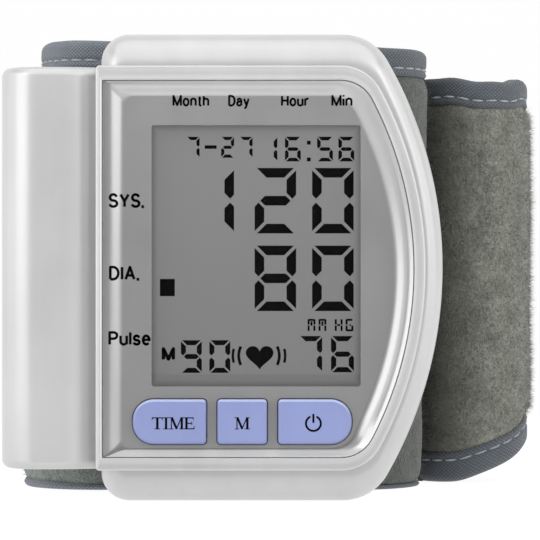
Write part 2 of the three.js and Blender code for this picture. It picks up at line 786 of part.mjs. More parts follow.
add("display_lens", slab(roundedOutline(lens), lensFront, lensFront + LENS_THICKNESS), CLEAR());
add("lcd_glass", lcdGlass(), LCD_GREY());
add("lcd_frame", lcdFrame(), WHITE_PLASTIC());
add("zebra_strip_lower", zebraStrip(lcd.bottom + ZEBRA_INSET), RUBBER());
add("zebra_strip_upper", zebraStrip(lcd.top - ZEBRA_INSET - ZEBRA_WIDTH), RUBBER());
add("main_board", mainBoard(), BOARD_GREEN());
for (const { name, outline } of buttons) {
  add(`${name}_switch`, tactSwitch(centreOf(outline)), BLACK_PLASTIC());
}
add("controller_chip", controllerChip(), BLACK_PLASTIC());
add("buzzer", buzzer(), BLACK_PLASTIC());

// Pump, valve, sensor and air lines

const cradleBack = rearWallFront - CLEARANCE;
const pumpY = cradleBack - WALL - MOTOR_RADIUS;
const headTop = pumpZ - CLEARANCE;
const headBottom = headTop - HEAD_LENGTH;
const manifoldY = rearWallFront - NOZZLE_FLANGE_THICKNESS - CLEARANCE - MANIFOLD_SIZE;
const valveBack = rearWallFront - CLEARANCE;
const valveY = valveBack - VALVE_DEPTH / 2;
const sensorFront = boardBack + SEAM;
const sensorY = sensorFront + SENSOR_THICKNESS / 2;

function pumpMotor() {
  const top = pumpZ + MOTOR_LENGTH;
  const can = rod("z", MOTOR_RADIUS, pumpZ, top, pumpX, pumpY, 0, MOTOR_SIDES);
  const flats = block(
    pumpX - MOTOR_FLAT,
    pumpX + MOTOR_FLAT,
    pumpY - MOTOR_RADIUS,
    pumpY + MOTOR_RADIUS,
    pumpZ,
    top,
  );
  const bush = rod("z", MOTOR_BUSH_RADIUS, top - SEAM, top + MOTOR_BUSH_LENGTH, pumpX, pumpY, 0);
  return join(can.intersect(flats), bush);
}

function pumpHead() {
  const half = HEAD_SIZE / 2;
  const outline = {
    left: pumpX - half,
    right: pumpX + half,
    bottom: pumpY - half,
    top: pumpY + half,
    leftCorner: HEAD_CORNER,
    rightCorner: HEAD_CORNER,
  };
  const flat = (amount) => roundedOutline(inset(outline, amount));
  const at = (amount, z) => flat(amount).map((point) => new THREE.Vector3(point.x, point.y, z));
  const plateLength = HEAD_LENGTH / HEAD_PLATE_COUNT;
  const rings = [];
  for (let plate = 0; plate < HEAD_PLATE_COUNT; plate += 1) {
    const low = headBottom + plate * plateLength;
    const high = low + plateLength;
    if (plate) rings.push(at(HEAD_GROOVE, low - HEAD_GROOVE), at(HEAD_GROOVE, low));
    rings.push(at(0, low), at(0, plate < HEAD_PLATE_COUNT - 1 ? high - HEAD_GROOVE : high));
  }
  const stack = skin(rings, flat(0), flat(0));
  return join(stack, nipple(pumpX, pumpY, headBottom, "down"));
}

// A short barb for a hose to slip over, pointing up, down, left, right or back from a face.
function nipple(x, y, z, way) {
  if (way === "down") return rod("z", NIPPLE_RADIUS, z - NIPPLE_LENGTH, z + SEAM, x, y, 0, NIPPLE_SIDES);
  if (way === "up") return rod("z", NIPPLE_RADIUS, z - SEAM, z + NIPPLE_LENGTH, x, y, 0, NIPPLE_SIDES);
  if (way === "left") return rod("x", NIPPLE_RADIUS, x - NIPPLE_LENGTH, x + SEAM, 0, y, z, NIPPLE_SIDES);
  if (way === "right") return rod("x", NIPPLE_RADIUS, x - SEAM, x + NIPPLE_LENGTH, 0, y, z, NIPPLE_SIDES);
  return rod("y", NIPPLE_RADIUS, y - SEAM, y + NIPPLE_LENGTH, x, 0, z, NIPPLE_SIDES);
}

function pumpCradle() {
  const half = CRADLE_WIDTH / 2;
  const middle = pumpZ + MOTOR_LENGTH / 2;
  const saddle = block(
    pumpX - half,
    pumpX + half,
    cradleBack - CRADLE_RISE - WALL,
    cradleBack,
    middle - CRADLE_LENGTH / 2,
    middle + CRADLE_LENGTH / 2,
  );
  const seatRadius = MOTOR_RADIUS + CLEARANCE;
  const seatEnd = middle + CRADLE_LENGTH;
  return cut(saddle, rod("z", seatRadius, middle - CRADLE_LENGTH, seatEnd, pumpX, pumpY, 0, MOTOR_SIDES));
}

function releaseValve() {
  const left = nozzleX - VALVE_WIDTH / 2;
  const right = nozzleX + VALVE_WIDTH / 2;
  const top = valveZ + VALVE_HEIGHT;
  const coilStart = valveZ + VALVE_YOKE / 2;
  const coil = rod("z", VALVE_COIL_RADIUS, coilStart, top - VALVE_YOKE / 2, nozzleX, valveY, 0);
  const yokeBack = block(left, right, valveBack - VALVE_YOKE, valveBack, valveZ, top);
  const front = valveBack - VALVE_DEPTH;
  const lower = block(left, right, front, valveBack, valveZ, valveZ + VALVE_YOKE);
  const upper = block(left, right, front, valveBack, top - VALVE_YOKE, top);
  return join(coil, yokeBack, lower, upper, nipple(nozzleX, valveY, valveZ, "down"));
}

function pressureSensor() {
  const half = SENSOR_SIZE / 2;
  const body = block(
    sensorX - half,
    sensorX + half,
    sensorFront,
    sensorFront + SENSOR_THICKNESS,
    sensorZ,
    sensorZ + SENSOR_SIZE,
  );
  return join(body, nipple(sensorX, sensorY, sensorZ, "down"));
}

const manifoldHalf = MANIFOLD_SIZE / 2;
const manifoldMiddle = manifoldY + manifoldHalf;

function airManifold() {
  const body = block(
    nozzleX - manifoldHalf,
    nozzleX + manifoldHalf,
    manifoldY,
    manifoldY + MANIFOLD_SIZE,
    nozzleZ - manifoldHalf,
    nozzleZ + manifoldHalf,
  );
  return join(
    body,
    nipple(nozzleX, manifoldMiddle, nozzleZ + manifoldHalf, "up"),
    nipple(nozzleX - manifoldHalf, manifoldMiddle, nozzleZ, "left"),
    nipple(nozzleX + manifoldHalf, manifoldMiddle, nozzleZ, "right"),
    nipple(nozzleX, manifoldY + MANIFOLD_SIZE, nozzleZ, "back"),
  );
}

// A soft hose with its bore, along a smooth curve through the given points.
function hose(points) {
  const curve = new THREE.CatmullRomCurve3(points.map((point) => new THREE.Vector3(...point)));
  const section = new THREE.Shape().absarc(0, 0, HOSE_RADIUS, 0, 2 * Math.PI);
  section.holes.push(new THREE.Path().absarc(0, 0, HOSE_BORE_RADIUS, 0, 2 * Math.PI));
  const steps = Math.max(HOSE_LEAST_STEPS, Math.round(curve.getLength() / (2 * HOSE_RADIUS)));
  const sweep = { steps, curveSegments: HOSE_CURVE_STEPS, extrudePath: curve };
  return solidFromGeometry(new THREE.ExtrudeGeometry(section, sweep));
}

const hoseGap = CLEARANCE;
const bendReach = 3 * HOSE_RADIUS;

function pumpHose() {
  const x = pumpX;
  const start = headBottom - hoseGap;
  const low = start - NIPPLE_LENGTH;
  const end = nozzleX + manifoldHalf + hoseGap;
  return hose([
    [x, pumpY, start],
    [x, pumpY, low],
    [x - HOSE_RADIUS / 2, lerp(pumpY, manifoldMiddle, 1 / 4), lerp(low, nozzleZ, 1 / 2)],
    [x - bendReach / 2, lerp(pumpY, manifoldMiddle, 1 / 2), lerp(low, nozzleZ, 5 / 6)],
    [x - bendReach, lerp(pumpY, manifoldMiddle, 3 / 4), nozzleZ],
    [end + NIPPLE_LENGTH, manifoldMiddle, nozzleZ],
    [end, manifoldMiddle, nozzleZ],
  ]);
}

function valveHose() {
  const start = nozzleZ + manifoldHalf + hoseGap;
  const end = valveZ - hoseGap;
  return hose([
    [nozzleX, manifoldMiddle, start],
    [nozzleX, manifoldMiddle, start + NIPPLE_LENGTH],
    [(nozzleX + nozzleX) / 2, (manifoldMiddle + valveY) / 2, (start + end) / 2],
    [nozzleX, valveY, end - NIPPLE_LENGTH],
    [nozzleX, valveY, end],
  ]);
}

function sensorHose() {
  const start = nozzleX - manifoldHalf - hoseGap;
  const end = sensorZ - hoseGap;
  return hose([
    [start, manifoldMiddle, nozzleZ],
    [start - NIPPLE_LENGTH, manifoldMiddle, nozzleZ],
    [(start + sensorX) / 2 - HOSE_RADIUS, manifoldMiddle, nozzleZ + HOSE_RADIUS / 2],
    [sensorX, manifoldMiddle - SEAM, nozzleZ + bendReach],
    [sensorX, lerp(manifoldMiddle, sensorY, 1 / 4), lerp(nozzleZ, end, 1 / 2)],
    [sensorX, lerp(manifoldMiddle, sensorY, 3 / 4), lerp(nozzleZ, end, 3 / 4)],
    [sensorX, sensorY, end - 2 * HOSE_RADIUS],
    [sensorX, sensorY, end],
  ]);
}

// Cuff layers, as distances inwards from the outside of the loop

const plateFront = caseDepth + CLEARANCE;
const loopFront = plateFront + PLATE_THICKNESS + LAYER_GAP + BINDING_CLOTH;
const loopY = loopFront + LOOP_CORNER;
const stayOut = COVER_CLOTH + LAYER_GAP;
const bladderOut = stayOut + STAY_THICKNESS + LAYER_GAP;
const liningOut = bladderOut + BLADDER_THICKNESS + LAYER_GAP;
const cuffThickness = liningOut + LINING_THICKNESS;
const strapLiningOut = COVER_CLOTH + LAYER_GAP;
const strapThickness = strapLiningOut + LINING_THICKNESS;
const bindingReach = LAYER_GAP + BINDING_CLOTH; // how far a folded binding stands off the cloth

function cuffNozzle() {
  const flangeBackY = rearWallFront - CLEARANCE;
  const body = turned(
    "y",
    [
      [NOZZLE_FLANGE_RADIUS, flangeBackY - NOZZLE_FLANGE_THICKNESS],
      [NOZZLE_FLANGE_RADIUS, flangeBackY],
      [NOZZLE_RADIUS, flangeBackY],
      [NOZZLE_RADIUS, loopFront + bladderOut - LAYER_GAP],
    ],
    nozzleX,
    0,
    nozzleZ,
  );
  const bore = rod("y", HOSE_BORE_RADIUS, 0, caseDepth + LOOP_CORNER, nozzleX, 0, nozzleZ, NIPPLE_SIDES);
  return cut(body, bore);
}

add("pump_motor", pumpMotor(), STEEL());
add("pump_head", pumpHead(), BLACK_PLASTIC());
add("pump_cradle", pumpCradle(), RUBBER());
add("release_valve", releaseValve(), STEEL());
add("pressure_sensor", pressureSensor(), BLACK_PLASTIC());
add("air_manifold", airManifold(), WHITE_PLASTIC());
add("pump_hose", pumpHose(), SILICONE());
add("valve_hose", valveHose(), SILICONE());
add("sensor_hose", sensorHose(), SILICONE());
add("cuff_nozzle", cuffNozzle(), WHITE_PLASTIC());

// Battery column: profile of the cover in plan, seen from above, and the pieces inside it

const coverBack = caseDepth - COVER_BACK_SETBACK;
const coverBottom = bezelOuter.bottom;
const coverHeight = bezelOuter.top - bezelOuter.bottom;
const coverMiddleZ = coverBottom + coverHeight / 2;
const trayRight = housing.left - CLEARANCE;
const trayLeft = trayRight - TRAY_WALL;
const cellX = trayLeft - CELL_GAP - CELL_RADIUS;
const columnFront = COVER_FRONT_DEPTH + COVER_SHOULDER_DROP + COVER_WALL + TRAY_MARGIN;
const columnBack = coverBack - COVER_WALL - TRAY_MARGIN;
const frontCellY = cellFront + CELL_RADIUS;
const rearCellY = frontCellY + 2 * CELL_RADIUS + CELL_GAP;
const springHeight = SPRING_LENGTH + 2 * SPRING_WIRE_RADIUS;
const trayInside = CELL_LENGTH + springHeight + CONTACT_THICKNESS + 4 * CLEARANCE;
const trayFloor = coverMiddleZ - trayInside / 2;
const trayRoof = coverMiddleZ + trayInside / 2;

function coverProfile(offset) {
  const left = caseLeft + offset;
  const front = COVER_FRONT_DEPTH + offset;
  const back = coverBack - offset;
  const frontRound = COVER_FRONT_ROUND - offset;
  const rearRound = COVER_REAR_ROUND - offset;
  const right = coverRight + 2 * COVER_END_ROUND;
  const crest = caseLeft + COVER_FLAT_FROM_LEFT;
  const fall = (COVER_SHOULDER_DROP * (right - crest) ** 2) / (coverRight - crest) ** 2;
  const shape = new THREE.Shape();
  shape.moveTo(right, back);
  shape.lineTo(right, front + fall);
  shape.quadraticCurveTo((right + crest) / 2, front, crest, front);
  shape.lineTo(left + frontRound, front);
  shape.absarc(left + frontRound, front + frontRound, frontRound, -Math.PI / 2, -Math.PI, true);
  shape.lineTo(left, back - rearRound);
  shape.absarc(left + rearRound, back - rearRound, rearRound, Math.PI, Math.PI / 2, true);
  shape.closePath();
  return shape;
}

function batteryCover() {
  const outer = solidFromGeometry(
    new THREE.ExtrudeGeometry(coverProfile(0), {
      depth: coverHeight - 2 * COVER_END_ROUND,
      curveSegments: COVER_CURVE_STEPS,
      bevelThickness: COVER_END_ROUND,
      bevelSize: COVER_END_ROUND,
      bevelOffset: -COVER_END_ROUND,
      bevelSegments: ROUND_STEPS,
    }).translate(0, 0, coverBottom + COVER_END_ROUND),
  );
  const inner = solidFromGeometry(
    new THREE.ExtrudeGeometry(coverProfile(COVER_WALL), {
      depth: coverHeight - 2 * COVER_WALL,
      curveSegments: COVER_CURVE_STEPS,
      bevelEnabled: false,
    }).translate(0, 0, coverBottom + COVER_WALL),
  );
  const mouth = block(
    coverRight,
    coverRight + 2 * COVER_WIDTH,
    -caseDepth,
    2 * caseDepth,
    -CASE_HEIGHT,
    2 * CASE_HEIGHT,
  );
  return cut(outer, inner, mouth);
}

function batteryTray() {
  const low = trayFloor - TRAY_WALL;
  const high = trayRoof + TRAY_WALL;
  const base = block(trayLeft, trayRight, columnFront, columnBack, low, high);
  const reach = trayLeft - TRAY_END_REACH;
  const floor = block(reach, trayRight, columnFront, columnBack, low, trayFloor);
  const roof = block(reach, trayRight, columnFront, columnBack, trayRoof, high);
  const ribMiddle = (frontCellY + rearCellY) / 2;
  const ribBlank = block(
    trayLeft - TRAY_RIB,
    trayRight,
    ribMiddle - TRAY_RIB,
    ribMiddle + TRAY_RIB,
    trayFloor - TRAY_WALL / 2,
    trayRoof + TRAY_WALL / 2,
  );
  const cells = [frontCellY, rearCellY].map((y) =>
    rod("z", CELL_RADIUS + CELL_GAP, -CASE_HEIGHT, 2 * CASE_HEIGHT, cellX, y, 0),
  );
  return join(base, floor, roof, cut(ribBlank, ...cells));
}

// A cell with its button end up or down: the sign turns it over.
function cell(y, flatEnd, sign) {
  const shoulder = CELL_LENGTH - CELL_NUB_LENGTH;
  const profile = [
    [CELL_RADIUS - CELL_EDGE, 0],
    [CELL_RADIUS, CELL_EDGE],
    [CELL_RADIUS, shoulder - CELL_EDGE],
    [CELL_RADIUS - CELL_EDGE, shoulder],
    [CELL_NUB_RADIUS, shoulder],
    [CELL_NUB_RADIUS, CELL_LENGTH],
  ];
  return alongZ(profile, y, flatEnd, sign);
}

// A turned profile whose distances run up from a height, or down from it.
function alongZ(profile, y, height, sign) {
  const points = [[0, profile[0][1]], ...profile, [0, profile[profile.length - 1][1]]];
  const geometry = new THREE.LatheGeometry(
    points.map(([radius, along]) => new THREE.Vector2(radius, along)),
    ROD_SIDES,
  );
  geometry.rotateX((sign * Math.PI) / 2);
  geometry.translate(cellX, y, height);
  return solidFromGeometry(geometry);
}

// A conical coil spring as one tube, standing on a height or hanging from it.
function batterySpring(y, height, sign) {
  const steps = Math.round(SPRING_TURNS * SPRING_STEPS);
  const centre = (t) => {
    const angle = t * SPRING_TURNS * 2 * Math.PI;
    const radius = lerp(SPRING_WIDE_RADIUS, SPRING_NARROW_RADIUS, t);
    const along = height + sign * (SPRING_WIRE_RADIUS + t * SPRING_LENGTH);
    return new THREE.Vector3(cellX + radius * Math.cos(angle), y + radius * Math.sin(angle), along);
  };
  const path = Array.from({ length: steps + 1 }, (_, i) => centre(i / steps));
  const section = arc(0, 0, SPRING_WIRE_RADIUS, 0, 2 * Math.PI, SPRING_SIDES).slice(0, SPRING_SIDES);
  const up = new THREE.Vector3(0, 0, 1);
  const rings = path.map((point, i) => {
    const ahead = path[Math.min(i + 1, steps)].clone().sub(path[Math.max(i - 1, 0)]).normalize();
    const across = new THREE.Vector3().crossVectors(up, ahead).normalize();
    const over = new THREE.Vector3().crossVectors(ahead, across);
    return section.map(({ x, y: rise }) =>
      point.clone().addScaledVector(across, x).addScaledVector(over, rise),
    );
  });
  return { solid: skin(rings, section, section), gap: leastGap(path) };
}

// The least space between two stretches of one wire, over half a turn apart.
function leastGap(path) {
  const halfTurn = SPRING_STEPS / 2;
  let least = Infinity;
  path.forEach((point, i) =>
    path.slice(i + halfTurn).forEach((other) => {
      least = Math.min(least, point.distanceTo(other));
    }),
  );
  return least - 2 * SPRING_WIRE_RADIUS;
}

function contactPlate(y, height, sign) {
  const half = CONTACT_WIDTH / 2;
  const ends = [height, height + sign * CONTACT_THICKNESS].sort((a, b) => a - b);
  return block(cellX - half, cellX + half, y - half, y + half, ...ends);
}

const springFoot = CLEARANCE;
const springReach = springFoot + springHeight + CLEARANCE;
const frontSpring = batterySpring(frontCellY, trayFloor + springFoot, 1);
const rearSpring = batterySpring(rearCellY, trayRoof - springFoot, -1);
const springGap = Math.min(frontSpring.gap, rearSpring.gap);
console.log("least gap in a battery spring:", springGap.toFixed(2), "mm");

add("battery_cover", batteryCover(), CASE_GREY());
add("battery_tray", batteryTray(), CASE_GREY());
add("front_cell", cell(frontCellY, trayFloor + springReach, 1), STEEL());
add("rear_cell", cell(rearCellY, trayRoof - springReach, -1), STEEL());
add("front_cell_spring", frontSpring.solid, SPRING_STEEL());
add("rear_cell_spring", rearSpring.solid, SPRING_STEEL());
add("front_cell_contact", contactPlate(frontCellY, trayRoof - CLEARANCE, -1), SPRING_STEEL());
add("rear_cell_contact", contactPlate(rearCellY, trayFloor + CLEARANCE, 1), SPRING_STEEL());

// Cuff path in plan: clockwise from the short side's tip, round the front, to the strap's tip

function arcPath(x, y, radius, from, to) {
  const radiusAt = typeof radius === "number" ? () => radius : radius;
  const start = degrees(from);
  const end = degrees(to);
  const steps = Math.max(2, Math.ceil((Math.abs(end - start) * radiusAt(1)) / BAND_STEP));
  return Array.from({ length: steps + 1 }, (_, i) => {
    const angle = lerp(start, end, i / steps);
    const outwards = new THREE.Vector2(Math.cos(angle), Math.sin(angle));
    const point = outwards.clone().multiplyScalar(radiusAt(i / steps)).add(new THREE.Vector2(x, y));
    return { point, inwards: outwards.negate() };
  });
}

// Stations along a path: a point, the direction towards the inside, and the distance from the start.
function stations(path, startAt = 0) {
  const kept = path.filter(({ point }, i) => i === 0 || point.distanceTo(path[i - 1].point) > SEAM);
  let along = startAt;
  return kept.map(({ point, inwards }, i) => {
    along += i ? point.distanceTo(kept[i - 1].point) : 0;
    return { point, inwards, along };
  });
}

// How far the cuff stands in from its path: only the left side leans, and more the higher it is.
const leanAt = (point, z) => LEFT_LEAN * smooth(-point.x, bendX, LOOP_RADIUS) * (z / CUFF_HEIGHT);

// A band along stations: its section is a list of pairs, distance inwards and height.
function band(list, sectionAt) {
  const sections = list.map((station) =>
    sectionAt(station).map(([depth, z]) => new THREE.Vector2(depth, z)),
  );
  const rings = list.map(({ point, inwards }, i) =>
    sections[i].map(({ x: depth, y: z }) => {
      const reach = depth + leanAt(point, z);
      return new THREE.Vector3(point.x + inwards.x * reach, point.y + inwards.y * reach, z);
    }),
  );
  return skin(rings, sections[0], sections[sections.length - 1]);
}

const flatSection = (near, far, low, high) => [
  [near, low],
  [far, low],
  [far, high],
  [near, high],
];

// A tape folded over an edge at a height: the sign says on which side the cloth lies.
function foldedSection(thickness, edge, sign) {
  const outer = -bindingReach;
  const inner = thickness + bindingReach;
  const web = edge + sign * BINDING_CLOTH;
  const hem = edge + sign * BINDING_WIDTH;
  return [
    [outer, edge],
    [inner, edge],
    [inner, hem],
    [inner - BINDING_CLOTH, hem],
    [inner - BINDING_CLOTH, web],
    [outer + BINDING_CLOTH, web],
    [outer + BINDING_CLOTH, hem],
    [outer, hem],
  ];
}

const bendX = LOOP_RADIUS - LOOP_CORNER;
const clothEdge = BINDING_CLOTH + LAYER_GAP;
const bindingStop = BINDING_WIDTH + LAYER_GAP;
const turnOver = (length, radius) => THREE.MathUtils.radToDeg(length / radius);
const loopTurn = (length) => turnOver(length, LOOP_RADIUS);

function loopStations(fromAngle, toAngle) {
  return stations([
    ...arcPath(0, loopY, LOOP_RADIUS, fromAngle, 0),
    ...arcPath(bendX, loopY, LOOP_CORNER, 0, -90),
    ...arcPath(-bendX, loopY, LOOP_CORNER, -90, -180),
    ...arcPath(0, loopY, LOOP_RADIUS, 180, toAngle),
  ]);
}

const clothLoop = loopStations(TIP_ANGLE - loopTurn(clothEdge), STRAP_ANGLE);
const edgedLoop = loopStations(TIP_ANGLE - loopTurn(bindingStop), STRAP_ANGLE);
const innerLoop = loopStations(TIP_ANGLE - LAYER_END_ANGLE, STRAP_ANGLE + LAYER_END_ANGLE);

const layer = (list, near, thickness, margin) =>
  band(list, () => flatSection(near, near + thickness, margin, CUFF_HEIGHT - margin));

// Tape folded over the end of the short side.
function cuffTip() {
  const arcFrom = (from, to) => stations(arcPath(0, loopY, LOOP_RADIUS, from, to));
  const tape = layer(
    arcFrom(TIP_ANGLE, TIP_ANGLE - loopTurn(BINDING_WIDTH)),
    -bindingReach,
    cuffThickness + 2 * bindingReach,
    0,
  );
  const fold = layer(
    arcFrom(TIP_ANGLE - loopTurn(BINDING_CLOTH), TIP_ANGLE - loopTurn(2 * BINDING_WIDTH)),
    -LAYER_GAP,
    cuffThickness + 2 * LAYER_GAP,
    -CUFF_HEIGHT,
  );
  return cut(tape, fold);
}

const holeRadius = NOZZLE_RADIUS + CLEARANCE;
const nozzleHole = rod("y", holeRadius, caseDepth, loopFront + bladderOut, nozzleX, 0, nozzleZ);

function mountPlate() {
  const outline = roundedOutline({
    left: -PLATE_WIDTH / 2,
    right: PLATE_WIDTH / 2,
    bottom: plateBottom,
    top: CUFF_HEIGHT - plateBottom,
    leftCorner: PLATE_CORNER,
    rightCorner: PLATE_CORNER,
  });
  return cut(slab(outline, plateFront, loopFront - LAYER_GAP), nozzleHole);
}

add("cuff_mount_plate", mountPlate(), BLACK_PLASTIC());
add("cuff_cover", cut(layer(clothLoop, 0, COVER_CLOTH, clothEdge), nozzleHole), PLUSH());
const stay = layer(innerLoop, stayOut, STAY_THICKNESS, STAY_MARGIN);
add("cuff_stay", cut(stay, nozzleHole), WHITE_PLASTIC());
add("cuff_bladder", layer(innerLoop, bladderOut, BLADDER_THICKNESS, BLADDER_MARGIN), SILICONE());
add("cuff_lining", layer(clothLoop, liningOut, LINING_THICKNESS, clothEdge), LINING());
const cuffEdge = (height, sign) => band(edgedLoop, () => foldedSection(cuffThickness, height, sign));
add("cuff_binding_lower", cuffEdge(0, 1), BINDING());
add("cuff_binding_upper", cuffEdge(CUFF_HEIGHT, -1), BINDING());
add("cuff_binding_tip", cuffTip(), BINDING());

// Strap: spirals out over the short side, runs straight, then bulges at the right

const shortSideOut = LOOP_RADIUS + bindingReach;
const strapRadius = shortSideOut + STRAP_SPARE + strapThickness + bindingReach;
const bulgeX = LOOP_RADIUS + BULGE_OUT;
const bulgeY = loopY + BULGE_BACK;
const bulgeDistance = Math.hypot(bulgeX, BULGE_BACK);
const leaveAngle = THREE.MathUtils.radToDeg(
  Math.atan2(BULGE_BACK, bulgeX) + Math.acos((strapRadius - BULGE_RADIUS) / bulgeDistance),
);

const strapStart = STRAP_ANGLE - loopTurn(STRAP_HINGE_GAP);
const bulgeTurn = (length) => turnOver(length, BULGE_RADIUS);
const bulgeArc = (from, to) => arcPath(bulgeX, bulgeY, BULGE_RADIUS, from, to);

function strapStations(endAngle) {
  const growing = (t) => lerp(LOOP_RADIUS, strapRadius, smooth(t, 0, 1));
  const back = arcPath(0, loopY, growing, strapStart, leaveAngle);
  const bulge = bulgeArc(leaveAngle, endAngle);
  const from = back[back.length - 1];
  const pieces = Math.max(1, Math.round(from.point.distanceTo(bulge[0].point) / (2 * BAND_STEP)));
  const straight = Array.from({ length: pieces - 1 }, (_, i) => ({
    point: from.point.clone().lerp(bulge[0].point, (i + 1) / pieces),
    inwards: from.inwards,
  }));
  return stations([...back, ...straight, ...bulge]);
}

const wholeStrap = strapStations(BULGE_END_ANGLE);
const strapLength = wholeStrap[wholeStrap.length - 1].along;
const alongAt = (angle) => strapLength - degrees(angle - BULGE_END_ANGLE) * BULGE_RADIUS;
const levelFrom = alongAt(BULGE_LEVEL_ANGLE);
const highestAt = alongAt(0);

// Lower and upper edges along the strap.
function strapLow(along) {
  const lift = along < highestAt ? smooth(along, 0, highestAt) : 1 - smooth(along, highestAt, levelFrom);
  return STRAP_RISE * lift;
}

const strapHigh = (along) => lerp(CUFF_HEIGHT, STRAP_TOP, smooth(along, 0, highestAt));

const strapLayer = (list, near, thickness, margin) =>
  band(list, ({ along }) =>
    flatSection(near, near + thickness, strapLow(along) + margin, strapHigh(along) - margin),
  );

// Stations near the tip, between two distances from its end.
function nearTip(fromEnd, toEnd) {
  const angle = BULGE_END_ANGLE + bulgeTurn(fromEnd);
  return stations(bulgeArc(angle, BULGE_END_ANGLE + bulgeTurn(toEnd)), strapLength - fromEnd);
}

// Tape folded over the strap's tip.
function strapTip() {
  const tapeThickness = strapThickness + 2 * bindingReach;
  const tape = strapLayer(nearTip(BINDING_WIDTH, 0), -bindingReach, tapeThickness, 0);
  const fold = strapLayer(
    nearTip(2 * BINDING_WIDTH, BINDING_CLOTH),
    -LAYER_GAP,
    strapThickness + 2 * LAYER_GAP,
    -CUFF_HEIGHT,
  );
  return cut(tape, fold);
}

const clothStrap = strapStations(BULGE_END_ANGLE + bulgeTurn(clothEdge));
const edgedStrap = strapStations(BULGE_END_ANGLE + bulgeTurn(bindingStop));
const hookStrip = nearTip(HOOK_LENGTH, HOOK_MARGIN);
const hookOut = strapThickness + LAYER_GAP;
const strapEdge = (heightAt, sign) =>
  band(edgedStrap, ({ along }) => foldedSection(strapThickness, heightAt(along), sign));

add("strap_cover", strapLayer(clothStrap, 0, COVER_CLOTH, clothEdge), PLUSH());
add("strap_lining", strapLayer(clothStrap, strapLiningOut, LINING_THICKNESS, clothEdge), LINING());
add("strap_hook_patch", strapLayer(hookStrip, hookOut, HOOK_THICKNESS, HOOK_MARGIN), BLACK_PLASTIC());
add("strap_binding_lower", strapEdge(strapLow, 1), BINDING());
add("strap_binding_upper", strapEdge(strapHigh, -1), BINDING());
add("strap_binding_tip", strapTip(), BINDING());

// The origin lies under the middle of the whole object
const bounds = new THREE.Box3().setFromObject(monitor);
const middle = bounds.getCenter(new THREE.Vector3());
monitor.position.set(-middle.x, -middle.y, -bounds.min.z);

export default monitor;
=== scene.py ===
# A wrist blood pressure monitor: moulded case, display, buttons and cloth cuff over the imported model.
import bisect
import itertools
import math
import random
from types import SimpleNamespace

import bmesh
import bpy
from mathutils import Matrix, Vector, noise
from mathutils.bvhtree import BVHTree


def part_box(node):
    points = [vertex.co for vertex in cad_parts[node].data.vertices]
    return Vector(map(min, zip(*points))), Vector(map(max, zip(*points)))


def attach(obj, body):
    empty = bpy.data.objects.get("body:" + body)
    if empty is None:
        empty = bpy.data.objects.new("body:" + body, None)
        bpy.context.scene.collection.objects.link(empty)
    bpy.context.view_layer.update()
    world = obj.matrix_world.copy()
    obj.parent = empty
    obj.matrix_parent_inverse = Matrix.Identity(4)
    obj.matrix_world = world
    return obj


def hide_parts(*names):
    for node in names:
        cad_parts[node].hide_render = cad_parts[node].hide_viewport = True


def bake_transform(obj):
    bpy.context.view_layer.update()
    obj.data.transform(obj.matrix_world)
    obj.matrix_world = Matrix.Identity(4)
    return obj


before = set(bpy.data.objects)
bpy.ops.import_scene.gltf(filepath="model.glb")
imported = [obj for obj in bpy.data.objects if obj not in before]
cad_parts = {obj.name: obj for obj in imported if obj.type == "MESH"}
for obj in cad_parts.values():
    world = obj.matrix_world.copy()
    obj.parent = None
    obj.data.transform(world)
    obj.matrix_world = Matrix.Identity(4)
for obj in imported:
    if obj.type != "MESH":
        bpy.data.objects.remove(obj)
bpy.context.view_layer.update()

MM = 0.001
QUARTER = math.pi / 2

# Sizes are in millimetres: x from the case's middle, y back from the bezel's crest, z up from the lower edge
CASE_MIDDLE = (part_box("battery_cover")[0].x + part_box("front_housing")[1].x) / 2
ORIGIN = Vector((CASE_MIDDLE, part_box("display_bezel")[0].y, 0))


def at(x, y, z):
    """A point of the case in the frame."""
    return ORIGIN + Vector((x, y, z)) * MM


def outline(left, right, bottom, top, left_corner, right_corner, side=None):
    """An outline seen from the front: edges, radii of its corners and, where it bows, of its right side."""
    edges = dict(left=left, right=right, bottom=bottom, top=top)
    return dict(edges, left_corner=left_corner, right_corner=right_corner, side=side)


# Case
HOUSING = outline(-18.9, 34.55, 0, 73, 4.4, 8, side=65)
BEZEL_OUTER = outline(-19.45, 31.55, 5.1, 67.7, 0.6, 7, side=58.2)
BEZEL_INNER = outline(-18.45, 29.8, 7.05, 65.45, 0.25, 5.5, side=56.4)
SKIRT_DEPTH = 3
SKIRT_WIDTHS = (2.8, 2.9, 5.1)
SKIRT_FALL = 5
PARTING_DEPTH = 16
PARTING_SEAM = 0.1
PARTING_CHAMFER = 0.15
WALL = 1.8
REAR_ROUND = (3.2, 7)
CASE_DEPTH = 29.3
FRONT_WALL_BACK = 4.8
OPENING_MARGIN = 0.75
SCREW_PLACES = [(-11.5, 5.9), (15.5, 5.9), (-11.5, 67.1), (15.5, 67.1)]
SCREW_RECESS_RADIUS = 2.05
SCREW_RECESS_FRONT = 27.4

# Bezel and face panel
BEZEL_BOTTOM = 2.9
BEZEL_OUTER_LIP = 0.34
BEZEL_INNER_LIP = 0.14
BEZEL_DISH = 0.1
LEDGE_WIDTH = 1.2
LEDGE_FRONT = 3.4
LEDGE_BACK = 4.6
BEZEL_SKIRT = 0.55
PANEL_GAP = 0.07
PANEL_RIM = 0.6
RIGHT_RIM_DROP = 0.25
RIGHT_RIM_RISE = 0.52
LOWER_RIM_DROP = 0.55
PANEL_FLOOR = 1.6
PANEL_BACK = 3.2
